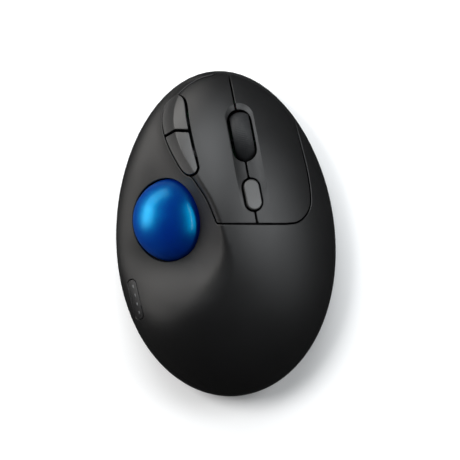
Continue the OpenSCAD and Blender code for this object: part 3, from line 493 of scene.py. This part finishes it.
def triangles_inside(rings, free):
    """All points, the triangles inside the rings, and the ring points that each point came from."""
    coords = [Vector(p) for p in (*np.vstack(rings), *free)]
    edges, at = [], 0
    for d in rings:
        edges += [(at + i, at + (i + 1) % len(d)) for i in range(len(d))]
        at += len(d)
    v, _, tris, origin, _, _ = delaunay_2d_cdt(coords, edges, [], 0, 1e-7)
    corners = np.array([p[:2] for p in v])[np.array(tris)]
    middle = corners.mean(1)
    inside = np.zeros(len(middle), bool)
    for d in rings:
        inside ^= within(middle, d)
    ab, ac = corners[:, 1] - corners[:, 0], corners[:, 2] - corners[:, 0]
    turn_way = ab[:, 0] * ac[:, 1] - ab[:, 1] * ac[:, 0]
    chosen = [t if w > 0 else t[::-1] for t, w, ok in zip(tris, turn_way, inside) if ok and abs(w) > 1e-12]
    return v, chosen, [[k for k in src if k < at] for src in origin]


def skin_piece(name, loops, fillet=0.28, step=1.0, inset=0.0, dip=None, wall=WALL, features=(), arc=4,
               edge_gap=0.42):
    """A closed shell over the area inside the loops, with rounded upper edges."""
    verts, norms, edge = [], [], []
    rims, rings, ring_ids = [], [], []
    for raw in loops:
        loop, total = even_loop(raw, edge_gap, inset, dip)
        if total < SHORT_LOOP:
            continue
        b, delta = inward(loop, inset, dip)
        m, first = len(loop), len(verts)
        for k in range(arc + 1):
            turn = math.pi / 2 * (1 - k / arc)
            d = loop + delta * (fillet * (1 - math.sin(turn)))
            q, _, _, n = skin_frame(d, inset, dip)
            verts += list(q - n * (fillet * (1 - math.cos(turn))))
            norms += list(n * math.cos(turn) - b * math.sin(turn))
            edge += [math.sin(turn)] * m
        rims.append((first, m, loop, b))
        rings.append(d)
        ring_ids += range(first + arc * m, first + arc * m + m)
    rows = np.vstack([np.zeros((0, 2)), *features])
    v, chosen, on_ring = triangles_inside(rings, fill_points(np.vstack(rings), rows, step, edge_gap))
    base, place, new = len(verts), {}, []
    for i in sorted({i for t in chosen for i in t}):
        if on_ring[i]:
            place[i] = ring_ids[on_ring[i][0]]
        else:
            place[i] = base + len(new)
            new.append(v[i][:2])
    if new:
        q, _, _, n = skin_frame(np.array(new), inset, dip)
        verts += list(q)
        norms += list(n)
        edge += [0.0] * len(new)
    # inner skin: the boundary loops, the last rings and the free points once more, one wall deeper
    outer_count, deep = len(verts), inset + wall
    keys = [("edge", first + k) for first, m, _, _ in rims for k in range(m)]
    keys += ring_ids + list(range(base, outer_count))
    below = {key: outer_count + n for n, key in enumerate(keys)}
    inner = np.vstack([loop for _, _, loop, _ in rims] + rings + [np.reshape(new, (-1, 2))])
    q, _, _, n = skin_frame(beneath(inner, inset, deep), deep, None)
    verts += list(q)
    norms += list(-n)
    edge += [0.0] * len(q)
    polys, poly_normals = [], []

    def add(face, normals=None):
        polys.append(face)
        poly_normals.extend(normals if normals is not None else [norms[i] for i in face])

    for tri in chosen:
        add([place[i] for i in tri])
    for first, m, _, b in rims:
        last = first + arc * m
        for i in range(m):
            j = (i + 1) % m
            for k in range(arc):
                o, p = first + k * m, first + (k + 1) * m
                add([o + i, o + j, p + j, p + i])
            low_i, low_j = below["edge", first + i], below["edge", first + j]
            add([low_i, low_j, first + j, first + i], [-b[i], -b[j], -b[j], -b[i]])
            add([below[last + i], below[last + j], low_j, low_i])
    for tri in chosen:
        add([below[place[i]] for i in reversed(tri)])
    mesh = bpy.data.meshes.new(name)
    mesh.from_pydata([tuple(x) for x in np.array(verts) * MM], [], polys)
    mesh.validate()
    obj = add_object(mesh)
    mesh.normals_split_custom_set([tuple(x) for x in poly_normals])
    # edge: share of the way round each rounded edge, which the plastic paints paler as wear and as a painted
    # highlight
    if len(mesh.vertices) == len(edge):
        mesh.attributes.new("edge", "FLOAT", "POINT").data.foreach_set("value", edge)
    return obj


# ---- Rows of points that keep creases and trough walls crisp ----
def along_crest(y0, y1, offsets=(-1.6, -0.9, -0.45, 0, 0.45, 0.9, 1.6), gap=0.45):
    ys = np.arange(y0, y1, gap)
    out = []
    for o in offsets:
        x = spline(CREST, ys) + o
        px, py = from_egg(x, ys)
        out.append(unroll(np.stack([px, py], -1)))
    return np.vstack(out)


def along_trough(gap=0.4):
    out = []
    for share in (0.4, 0.6, 0.8, 0.9, 0.97, 1.0, 1.03, 1.1):
        r = TROUGH_CORE + share * TROUGH_EDGE
        vs = np.arange(TROUGH_BACK, TROUGH_FRONT, gap)
        out += [wheel_plan(np.full(len(vs), TROUGH_RIGHT + s * r), vs) for s in (-1, 1)]
        a = np.linspace(0, np.pi, int(np.pi * r / gap))
        out.append(wheel_plan(TROUGH_RIGHT + r * np.cos(a), TROUGH_FRONT + r * np.sin(a)))
    return unroll(np.vstack(out))


def side_half(front):
    """Map points of the area on one side of the gap between the two side keys."""
    end, gap = (SIDE_LIMITS[1], KEY_SPLIT_GAP) if front else (SIDE_LIMITS[0], -KEY_SPLIT_GAP)
    pts = [tuple(p + (0, gap)) for p in side_split] + [(side_split[-1][0], end), (side_split[0][0], end)]
    return unroll(dense(pts))


case_ring = seam_ring(0.0)
lip_ring = seam_ring(LIP_GAP)
opening = ball_ring()
half = SEAM_GAP / 2
slot_area = plan_area(stadium(WHEEL_XY, SLOT, room=SLOT_ROOM), 0)
speed_hole = plan_area(stadium(SPEED_XY, SPEED_SIZE, room=SEAM_GAP), 0)
speed_area = plan_area(stadium(np.add(SPEED_XY, SPEED_SHIFT), SPEED_SIZE, room=-SPEED_TRIM), 0)
pill_area = plan_area(stadium(PILL_XY, PILL_SIZE, PILL_TURN), 0)
pill_hole = plan_area(stadium(PILL_XY, PILL_SIZE, PILL_TURN, room=PILL_GAP), 0)
crest_rows = along_crest(-34, 65)
ridge_rows = along_crest(20, 60, offsets=(-0.9, -0.45, -0.25, -0.12, 0, 0.12, 0.25, 0.45, 0.9), gap=0.3)
trough_rows = along_trough()
side_narrow = side_outer + [
    p - (SIDE_EXTRA * math.sin(math.pi * k / len(side_inner)), 0) for k, p in enumerate(side_inner)]

pieces = {}
pieces["top_case"] = skin_piece(
    "top_case_shell",
    region([case_ring], [plan_area(left_outline, half), plan_area(right_outline, half),
                         plan_area(side_outline, half), opening, pill_hole]),
    features=[crest_rows], step=1.1)
pieces["left_button"] = skin_piece(
    "left_button_shell", region([lip_ring, plan_area(left_outline, -KEY_GAP)], [slot_area, speed_hole]),
    dip="trough", features=[crest_rows, trough_rows])
pieces["right_button"] = skin_piece(
    "right_button_shell", region([lip_ring, plan_area(right_outline, -KEY_GAP)], [slot_area, speed_hole]),
    dip="trough", features=[trough_rows])
for front, node in ((True, "forward_button"), (False, "back_button")):
    pieces[node] = skin_piece(
        node + "_shell", region([lip_ring, plan_area(side_narrow, -KEY_GAP), side_half(front)], []),
        inset=-0.6, wall=2.8, fillet=0.3, dip="ridge", features=[ridge_rows], step=0.7, edge_gap=0.3)
pieces["speed_button"] = skin_piece(
    "speed_button_shell", region([speed_area], []), inset=0.1, fillet=0.6, wall=2.6, step=0.6, arc=6,
    edge_gap=0.3)
pieces["indicator_window"] = skin_piece(
    "indicator_window_shell", region([pill_area], []), fillet=0.25, step=0.6)

# ---------------------------------------------------------------------------
# Ball and scroll wheel
# ---------------------------------------------------------------------------
def ball_mesh(name, centre, radius, cuts=48):
    """A ball of even square faces: a finely cut cube swelled to a sphere."""
    bm = bmesh.new()
    bmesh.ops.create_cube(bm, size=2)
    bmesh.ops.subdivide_edges(bm, edges=bm.edges[:], cuts=cuts, use_grid_fill=True)
    for v in bm.verts:
        x, y, z = (math.tan(c * math.pi / 4) for c in v.co)
        v.co = Vector((x, y, z)).normalized() * radius * MM + Vector(centre) * MM
    mesh = bpy.data.meshes.new(name)
    bm.to_mesh(mesh)
    bm.free()
    return add_object(mesh)


WHEEL_R, WHEEL_W, WHEEL_Z = 11.0, 7.7, 27.6659
WHEEL_OFF = (0.2, -1.3)  # the wheel's middle from the slot's, to the right and ahead
AXLE = Vector((math.cos(HEADING), math.sin(HEADING), 0))
AHEAD = Vector((-math.sin(HEADING), math.cos(HEADING), 0))
TYRE_THICK, TYRE_CROWN = 2.6, 1.5
CROWN_SPAN, CROWN_STEPS = 60, 32  # degrees to each side of the crown's middle
RIBS, RIB_DEPTH, RIB_BAND = 90, 0.05, 0.42  # the ribs fade out at this share of the width from the middle
SHARP_EDGE = math.radians(35)


def lathe(name, profile, centre, steps, wave):
    """Turns a closed (radius, along) outline round the wheel's axle. wave gives the radius at a turn."""
    n = len(profile)
    verts, faces = [], []
    for k in range(steps):
        a = 2 * math.pi * k / steps
        spoke = AHEAD * math.cos(a) + Vector((0, 0, 1)) * math.sin(a)
        verts += [(centre + AXLE * w + spoke * wave(r, w, a)) * MM for r, w in profile]
        for i in range(n):
            j, ahead = (i + 1) % n, (k + 1) % steps * n
            faces.append((k * n + i, ahead + i, ahead + j, k * n + j))
    mesh = bpy.data.meshes.new(name)
    mesh.from_pydata(verts, [], faces)
    bm = bmesh.new()
    bm.from_mesh(mesh)
    bmesh.ops.recalc_face_normals(bm, faces=bm.faces[:])
    bm.to_mesh(mesh)
    bm.free()
    obj = add_object(mesh)
    mesh.set_sharp_from_angle(angle=SHARP_EDGE)
    return obj


def tyre_profile():
    """Crowned tread with rounded shoulders, closed inside at the hub."""
    out = []
    for k in range(CROWN_STEPS + 1):
        a = math.radians(CROWN_SPAN - 2 * CROWN_SPAN * k / CROWN_STEPS)
        along = WHEEL_W / 2 * math.sin(a) / math.sin(math.radians(CROWN_SPAN))
        out.append((WHEEL_R - TYRE_CROWN + TYRE_CROWN * math.cos(1.5 * a), along))
    return out + [(WHEEL_R - TYRE_THICK, -WHEEL_W / 2), (WHEEL_R - TYRE_THICK, WHEEL_W / 2)]


def tread(r, w, a):
    """Fine cross ribs in the middle band of the tread, fading out at the shoulders."""
    fade = max(0.0, 1 - (abs(w) / (RIB_BAND * WHEEL_W)) ** 4)
    return r - RIB_DEPTH * fade * (0.5 - 0.5 * math.cos(RIBS * a))


wheel_at = wheel_plan(*(np.array([x]) for x in WHEEL_OFF))[0]
pieces["ball"] = ball_mesh("ball_sphere", BALL, BALL_D / 2)
pieces["wheel_tyre"] = lathe("wheel_tyre_tread", tyre_profile(), Vector((*wheel_at, WHEEL_Z)), 720, tread)

bodies = {"top_case": "casing", "indicator_window": "casing", "wheel_tyre": "wheel"}
for node, piece in pieces.items():
    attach(piece, bodies.get(node, node))
    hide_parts(node)

# four light guides show through the window, one over each lamp
guide_loops = [
    plan_area(stadium((PILL_XY[0] + GUIDE_U * math.cos(PILL_TURN) - v * math.sin(PILL_TURN),
                       PILL_XY[1] + GUIDE_U * math.sin(PILL_TURN) + v * math.cos(PILL_TURN)),
                      GUIDE_SIZE, PILL_TURN), 0) for v in GUIDE_ROW]
guides = skin_piece("indicator_guides", guide_loops, inset=-0.04, wall=0.3, fillet=0.08, step=0.3,
                    edge_gap=0.15)
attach(guides, "casing")


# ---- Rounded edges and smooth shading for the carried-over nodes, by modifiers only ----
WELD = 2e-6  # metres
CORNER, CORNER_ANGLE = 0.12, math.radians(32)  # a rounded edge's width, and the least angle that gets one


def smooth_by_angle(angle):
    """Node group that joins split corners and shades smooth where faces meet at less than the angle."""
    group = bpy.data.node_groups.new("smooth_by_angle", "GeometryNodeTree")
    group.interface.new_socket("Geometry", in_out="INPUT", socket_type="NodeSocketGeometry")
    group.interface.new_socket("Geometry", in_out="OUTPUT", socket_type="NodeSocketGeometry")
    n = group.nodes
    start, end = n.new("NodeGroupInput"), n.new("NodeGroupOutput")
    weld, drop = n.new("GeometryNodeMergeByDistance"), n.new("GeometryNodeRemoveAttribute")
    weld.inputs["Distance"].default_value = WELD
    drop.inputs["Name"].default_value = "custom_normal"
    shade = n.new("GeometryNodeSetShadeSmooth")
    turn, steep = n.new("GeometryNodeInputMeshEdgeAngle"), n.new("FunctionNodeCompare")
    steep.operation = "GREATER_THAN"
    steep.inputs[1].default_value = angle
    edges = n.new("GeometryNodeSetShadeSmooth")
    edges.domain = "EDGE"
    edges.inputs["Shade Smooth"].default_value = False
    chain = [start, weld, drop, shade, edges, end]
    for a, b in zip(chain, chain[1:]):
        group.links.new(a.outputs[0], b.inputs[0])
    group.links.new(turn.outputs["Unsigned Angle"], steep.inputs[0])
    group.links.new(steep.outputs[0], edges.inputs["Selection"])
    return group


smooth_group = smooth_by_angle(CORNER_ANGLE)
for node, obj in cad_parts.items():
    if node not in pieces:
        obj.modifiers.new("smooth", "NODES").node_group = smooth_group
        bevel = obj.modifiers.new("bevel", "BEVEL")
        bevel.width = CORNER * MM
        bevel.segments = 2
        bevel.limit_method = "ANGLE"
        bevel.angle_limit = CORNER_ANGLE
        bevel.harden_normals = True

# ---------------------------------------------------------------------------
# Materials
# ---------------------------------------------------------------------------
PEARL = (0.001, 0.011, 0.2)
CASE = (0.0052, 0.0052, 0.0055)


def new_material(name, colour, roughness, metallic=0.0, specular=0.5, coat=0.0):
    """(material, node tree, shader) with the values that are the same all over set on the shader itself."""
    m = bpy.data.materials.new(name)
    m.use_nodes = True
    nt = m.node_tree
    b = nt.nodes["Principled BSDF"]
    b.inputs["Base Color"].default_value = (*colour, 1)
    b.inputs["Roughness"].default_value = roughness
    b.inputs["Metallic"].default_value = metallic
    b.inputs["Specular IOR Level"].default_value = specular
    b.inputs["Coat Weight"].default_value = coat
    return m, nt, b


def pattern(nt, kind, scale, detail=2.0, stretch=None):
    """Output of a noise or cell texture over the object's own coordinates, scale in features per metre."""
    coord = nt.nodes.new("ShaderNodeTexCoord")
    source = coord.outputs["Object"]
    if stretch is not None:
        mapping = nt.nodes.new("ShaderNodeMapping")
        mapping.inputs["Scale"].default_value = stretch
        nt.links.new(source, mapping.inputs["Vector"])
        source = mapping.outputs["Vector"]
    tex = nt.nodes.new("ShaderNodeTexVoronoi" if kind == "cells" else "ShaderNodeTexNoise")
    tex.inputs["Scale"].default_value = scale
    if kind != "cells":
        tex.inputs["Detail"].default_value = detail
    nt.links.new(source, tex.inputs["Vector"])
    return tex.outputs["Color" if kind == "cells" else "Fac"]


def spread(nt, value, low, high, start=0.3, end=0.7):
    """The value stretched from the span start..end to the span low..high."""
    node = nt.nodes.new("ShaderNodeMapRange")
    for key, v in (("From Min", start), ("From Max", end), ("To Min", low), ("To Max", high)):
        node.inputs[key].default_value = v
    nt.links.new(value, node.inputs["Value"])
    return node.outputs["Result"]


def blend_colours(nt, fac, first, second):
    node = nt.nodes.new("ShaderNodeMix")
    node.data_type = "RGBA"
    colours = [sock for sock in node.inputs if sock.type == "RGBA"]
    for sock, c in zip(colours, (first, second)):
        if isinstance(c, tuple):
            sock.default_value = (*c, 1)
        else:
            nt.links.new(c, sock)
    nt.links.new(fac, node.inputs[0])
    return next(sock for sock in node.outputs if sock.type == "RGBA")


def relief(nt, height, strength, depth):
    """Bump from a height, depth in metres."""
    node = nt.nodes.new("ShaderNodeBump")
    node.inputs["Strength"].default_value = strength
    node.inputs["Distance"].default_value = depth
    nt.links.new(height, node.inputs["Height"])
    return node.outputs["Normal"]


WORN = 0.035  # how much handling varies the plastic's roughness


def plastic(name, colour, roughness=0.45, grain=3200, bump=0.35, vary=0.22, specular=0.5, edge=0.0):
    """Moulded plastic: spark-eroded grain, faint handling marks, and rounded edges painted a little paler,
    partly as rubbed wear and partly as a painted highlight.
    """
    m, nt, b = new_material(name, colour, roughness, specular=specular)
    fine, broad = pattern(nt, "noise", grain), pattern(nt, "noise", 45, 4)
    tone = blend_colours(nt, spread(nt, fine, 0, 1), tuple(c * (1 - vary) for c in colour),
                         tuple(c * (1 + vary) for c in colour))
    rough = spread(nt, broad, roughness - WORN, roughness + WORN)
    # edge sets how much paler the rounded edges are painted: partly rubbed wear, partly a painted highlight
    # along them
    if edge:
        edge_wear_and_highlight = nt.nodes.new("ShaderNodeAttribute")
        edge_wear_and_highlight.attribute_name = "edge"
        amount = spread(nt, edge_wear_and_highlight.outputs["Fac"], 0, edge, 0.1, 0.8)
        tone = blend_colours(nt, amount, tone, tuple(c * 2.2 + 0.004 for c in colour))
    nt.links.new(tone, b.inputs["Base Color"])
    nt.links.new(rough, b.inputs["Roughness"])
    nt.links.new(relief(nt, fine, bump, 2.5e-5), b.inputs["Normal"])
    return m


def rubber(name, colour, roughness=0.62, grain=2200):
    """Matt rubber with a little dust in its pores."""
    m, nt, b = new_material(name, colour, roughness, specular=0.35)
    fine, dust = pattern(nt, "noise", grain, 4), pattern(nt, "noise", 160, 5)
    nt.links.new(blend_colours(nt, spread(nt, dust, 0, 1), colour, tuple(c * 1.5 + 0.001 for c in colour)),
                 b.inputs["Base Color"])
    nt.links.new(spread(nt, fine, roughness - 0.08, roughness + 0.08), b.inputs["Roughness"])
    nt.links.new(relief(nt, fine, 0.4, 4e-5), b.inputs["Normal"])
    return m


def metal(name, colour, roughness, brushed=(1, 1, 1)):
    """Metal with fine scratches, drawn out along the axes where brushed is small."""
    m, nt, b = new_material(name, colour, roughness, metallic=1.0)
    streak, patch = pattern(nt, "noise", 1800, 3, brushed), pattern(nt, "noise", 220, 3)
    nt.links.new(blend_colours(nt, spread(nt, patch, 0, 1), tuple(c * 0.82 for c in colour), colour),
                 b.inputs["Base Color"])
    nt.links.new(spread(nt, streak, roughness - 0.08, roughness + 0.12), b.inputs["Roughness"])
    nt.links.new(relief(nt, streak, 0.2, 1e-5), b.inputs["Normal"])
    return m


def circuit(name, mask=(0.008, 0.075, 0.03), track=(0.02, 0.16, 0.065)):
    """Solder mask over fine copper tracks."""
    m, nt, b = new_material(name, mask, 0.35, coat=0.3)
    coord = nt.nodes.new("ShaderNodeTexCoord")
    brick = nt.nodes.new("ShaderNodeTexBrick")
    brick.inputs["Scale"].default_value = 260
    brick.inputs["Mortar Size"].default_value = 0.045
    brick.inputs["Color1"].default_value = (*mask, 1)
    brick.inputs["Color2"].default_value = (*[c * 1.25 for c in mask], 1)
    brick.inputs["Mortar"].default_value = (*track, 1)
    nt.links.new(coord.outputs["Object"], brick.inputs["Vector"])
    nt.links.new(brick.outputs["Color"], b.inputs["Base Color"])
    nt.links.new(spread(nt, pattern(nt, "noise", 900), 0.28, 0.42), b.inputs["Roughness"])
    nt.links.new(relief(nt, brick.outputs["Fac"], 0.3, 3e-5), b.inputs["Normal"])
    return m


def pearl(name):
    """Deep blue pearl resin: fine mica flakes, a broad blue sheen and a thin polished coat."""
    m, nt, b = new_material(name, PEARL, 0.4, coat=0.1)
    b.inputs["IOR"].default_value = 3.0
    b.inputs["Specular Tint"].default_value = (0.0, 0.62, 1.0, 1)
    b.inputs["Coat Roughness"].default_value = 0.035
    b.inputs["Coat IOR"].default_value = 1.5
    flake = pattern(nt, "cells", 5200)
    cloud = pattern(nt, "noise", 120, 3)
    split = nt.nodes.new("ShaderNodeSeparateColor")
    nt.links.new(flake, split.inputs["Color"])
    grain = blend_colours(nt, split.outputs["Red"], tuple(c * 0.72 for c in PEARL),
                          tuple(c * 1.28 for c in PEARL))
    deep = blend_colours(nt, spread(nt, cloud, 0, 0.25), grain, tuple(c * 0.6 for c in PEARL))
    nt.links.new(deep, b.inputs["Base Color"])
    nt.links.new(spread(nt, split.outputs["Green"], 0.37, 0.45, 0, 1), b.inputs["Roughness"])
    nt.links.new(relief(nt, split.outputs["Blue"], 0.25, 1.2e-5), b.inputs["Normal"])
    return m


def clear(name, colour, roughness=0.08, through=0.9):
    """Clear or milky resin."""
    m, nt, b = new_material(name, colour, roughness)
    b.inputs["Transmission Weight"].default_value = through
    haze = pattern(nt, "noise", 700, 3)
    nt.links.new(spread(nt, haze, roughness, roughness + 0.12), b.inputs["Roughness"])
    nt.links.new(relief(nt, haze, 0.1, 1e-5), b.inputs["Normal"])
    return m


materials = {
    "case": plastic("case_plastic", CASE, roughness=0.45, edge=0.5, specular=0.5),
    "side_key": plastic(
        "side_key_plastic", (0.013, 0.013, 0.0134), roughness=0.44, edge=0.6, specular=0.8),
    "speed_key": plastic(
        "speed_key_plastic", (0.022, 0.0218, 0.0214), roughness=0.44, edge=0.5, specular=0.8),
    "base": plastic("base_plastic", (0.0085, 0.0085, 0.0088), roughness=0.46),
    "window": plastic("window_plastic", (0.010, 0.010, 0.0105), roughness=0.40, grain=5200, bump=0.15),
    "ball": pearl("ball_pearl"),
    "tyre": rubber("tyre_rubber", (0.0085, 0.009, 0.0098)),
    "hub": plastic("hub_plastic", (0.02, 0.021, 0.024), roughness=0.5),
    "feet": rubber("foot_pads", (0.016, 0.016, 0.017), roughness=0.42, grain=1500),
    "inner": plastic("inner_plastic", (0.014, 0.0145, 0.016), roughness=0.55, grain=1800),
    "bead": plastic("bead_ceramic", (0.75, 0.73, 0.68), roughness=0.14, grain=900, bump=0.05, vary=0.04),
    "ivory": plastic("rotor_plastic", (0.62, 0.61, 0.56), roughness=0.4, vary=0.05),
    "steel": metal("screw_steel", (0.56, 0.57, 0.59), 0.3),
    # axle steel painted near-black, as painted shade where it shows in the gap beside the wheel
    "axle": metal("axle_steel", (0.012, 0.012, 0.013), 0.6),
    "nickel": metal("contact_nickel", (0.66, 0.64, 0.58), 0.25, (1, 12, 1)),
    "lens": clear("lens_resin", (0.85, 0.92, 0.95)),
    "lamp": clear("lamp_resin", (0.9, 0.95, 0.85), 0.2, 0.5),
    "board": circuit("board_mask"),
    # near-black solder mask; its darkness also stands in for the shade in the gaps round the side and speed
    # keys, as painted shade
    "dark_board": circuit("dark_board_mask", (0.003, 0.004, 0.004), (0.009, 0.011, 0.011)),
    "chip": plastic("chip_epoxy", (0.012, 0.012, 0.013), roughness=0.5, grain=4200),
    "switch": plastic("switch_case", (0.022, 0.023, 0.026), roughness=0.4),
    "encoder": plastic("encoder_case", (0.03, 0.075, 0.22), roughness=0.42),
    "red": plastic("plunger_red", (0.42, 0.03, 0.022), roughness=0.38, vary=0.08),
    "grey": plastic("plunger_grey", (0.2, 0.2, 0.2), roughness=0.45, vary=0.08),
    "ribbon": plastic("ribbon_film", (0.55, 0.33, 0.09), roughness=0.35, grain=700, vary=0.18),
    "cell": plastic("cell_sleeve", (0.02, 0.022, 0.03), roughness=0.24, grain=800, bump=0.08),
    "slider": plastic("slider_plastic", (0.3, 0.3, 0.31), roughness=0.42, vary=0.06),
    "receiver": plastic("receiver_plastic", (0.013, 0.013, 0.014), roughness=0.36),
}
guides.data.materials.append(
    plastic("light_guide", (0.09, 0.093, 0.097), roughness=0.3, grain=2600, vary=0.3))
node_finish = {
    "base_case": "base", "battery_door": "base", "rubber_feet": "feet", "support_beads": "bead",
    "encoder_rotor": "ivory", "encoder_case": "encoder", "wheel_hub": "hub", "sensor_lens": "lens",
    "ball_sensor": "chip", "board_chips": "chip", "indicator_lamps": "lamp", "sensor_ribbon": "ribbon",
    "battery_cell": "cell", "power_slider": "slider", "pair_button": "slider", "receiver_cap": "receiver",
    "top_case": "case", "left_button": "case", "right_button": "case", "forward_button": "side_key",
    "back_button": "side_key", "speed_button": "speed_key", "indicator_window": "window", "ball": "ball",
    "wheel_tyre": "tyre",
}
for names, finish in (
        ("case_screws cup_screws board_screws cradle_screws receiver_plug", "steel"),
        ("wheel_axle", "axle"),
        ("contact_spring positive_contact negative_contact", "nickel"),
        ("main_board sensor_board indicator_board", "board"), ("side_board speed_board", "dark_board"),
        ("left_switch right_switch wheel_switch side_switches speed_switch", "switch"),
        ("power_switch pair_switch", "switch"),
        ("left_plunger right_plunger wheel_plunger", "red"),
        ("forward_plunger back_plunger speed_plunger pair_plunger", "grey")):
    for n in names.split():
        node_finish[n] = finish
for node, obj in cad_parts.items():
    finish = materials[node_finish.get(node, "inner")]
    if node in pieces:
        pieces[node].data.materials.append(finish)
    elif len(obj.material_slots) == 0:
        obj.data.materials.append(finish)
    else:
        for sl in obj.material_slots:
            sl.material = finish

# ---------------------------------------------------------------------------
# Floor, lights and camera
# ---------------------------------------------------------------------------
FLOOR = 3.0  # half its width
GLOW, GLOW_FROM = (0.03, 0.8), (0.11, 0.8)  # the floor's own light near the object and far off, and where

floor_mesh = bpy.data.meshes.new("floor")
floor_mesh.from_pydata([(-FLOOR, -FLOOR, 0), (FLOOR, -FLOOR, 0), (FLOOR, FLOOR, 0), (-FLOOR, FLOOR, 0)],
                       [], [(0, 1, 2, 3)])
floor = bpy.data.objects.new("floor", floor_mesh)
bpy.context.scene.collection.objects.link(floor)
floor.visible_glossy = False  # the white paper doesn't mirror in the plastic
floor_mat, nt, b = new_material("floor_paper", (0.9, 0.9, 0.9), 0.9, specular=0.1)
b.inputs["Emission Color"].default_value = (1, 1, 1, 1)
glow = nt.nodes.new("ShaderNodeVectorMath")
glow.operation = "LENGTH"
nt.links.new(nt.nodes.new("ShaderNodeTexCoord").outputs["Object"], glow.inputs[0])
nt.links.new(spread(nt, glow.outputs["Value"], *GLOW, *GLOW_FROM), b.inputs["Emission Strength"])
nt.links.new(spread(nt, pattern(nt, "noise", 300), 0.85, 0.95), b.inputs["Roughness"])
floor_mesh.materials.append(floor_mat)

world = bpy.data.worlds.new("studio")
bpy.context.scene.world = world
world.use_nodes = True
sky = world.node_tree.nodes["Background"]
sky.inputs["Color"].default_value = (1, 1, 1, 1)
sky.inputs["Strength"].default_value = 0.024

# straight above; at the rim's level, VIEW_DISTANCE below the camera, the picture is VIEW_WIDTH wide
VIEW_DISTANCE, VIEW_WIDTH, SENSOR = 0.788, 0.18995, 36
cam_data = bpy.data.cameras.new("camera")
cam = bpy.data.objects.new("camera", cam_data)
bpy.context.scene.collection.objects.link(cam)
cam.location = (0.00165, 0.00194, 0.8)
cam_data.sensor_width = SENSOR
cam_data.lens = SENSOR * VIEW_DISTANCE / VIEW_WIDTH
bpy.context.scene.camera = cam
bpy.context.scene.view_settings.view_transform = "Standard"

AIM_Z = 0.02
STUDIO = 0.75  # distance of the soft boxes


def softbox(name, at, size, power, colour=(1, 1, 1)):
    """An area light that looks at the object and isn't seen itself."""
    data = bpy.data.lights.new(name, "AREA")
    data.shape = "RECTANGLE"
    data.size, data.size_y = size
    data.energy = power
    data.color = colour
    obj = bpy.data.objects.new(name, data)
    obj.location = at
    obj.rotation_euler = (Vector((0, 0, AIM_Z)) - Vector(at)).to_track_quat("-Z", "Y").to_euler()
    obj.visible_camera = False
    bpy.context.scene.collection.objects.link(obj)
    return obj


def studio_place(azimuth, elevation):
    """A place round the object. Azimuth 0 is the front and 90 the left."""
    a, e = math.radians(azimuth), math.radians(elevation)
    flat = STUDIO * math.cos(e)
    return (-flat * math.sin(a), flat * math.cos(a), STUDIO * math.sin(e) + AIM_Z)


def linked(light, state, obj):
    """Lets a light reach only one object (INCLUDE), or every object but that one (EXCLUDE)."""
    group = bpy.data.collections.new(light.name + "_link")
    group.objects.link(obj)
    group.collection_objects[0].light_linking.link_state = state
    light.light_linking.receiver_collection = group


WARM, COOL = (1, 0.975, 0.94), (0.95, 0.98, 1)
for name, azimuth, elevation, size, power, colour in (
        ("low_left_box", 90, 4, 0.4, 1.1, WARM), ("low_front_left_box", 58, 4, 0.4, 1.8, WARM),
        ("low_front_box", 30, 4, 0.4, 1.5, WARM), ("high_front_box", 6, 45, 0.55, 4.6, COOL),
        ("front_right_box", 294, 42, 0.4, 2.5, COOL), ("right_box", 270, 26, 0.5, 0.85, COOL)):
    box = softbox(name, studio_place(azimuth, elevation), (size, size), power, colour=colour)
    if colour is COOL:
        linked(box, "EXCLUDE", pieces["ball"])
linked(softbox("ball_box", studio_place(80, 14), (0.45, 0.45), 2.1), "INCLUDE", pieces["ball"])
linked(softbox("ball_strip", (0.45, 0.08, 0.45), (0.8, 0.03), 1.9), "INCLUDE", pieces["ball"])
# the key lights only matt surfaces: it draws the soft shadow on the floor and leaves the sheen to the boxes
key = softbox("key_light", studio_place(68, 54), (0.3, 0.3), 4.5)
key.visible_glossy = False
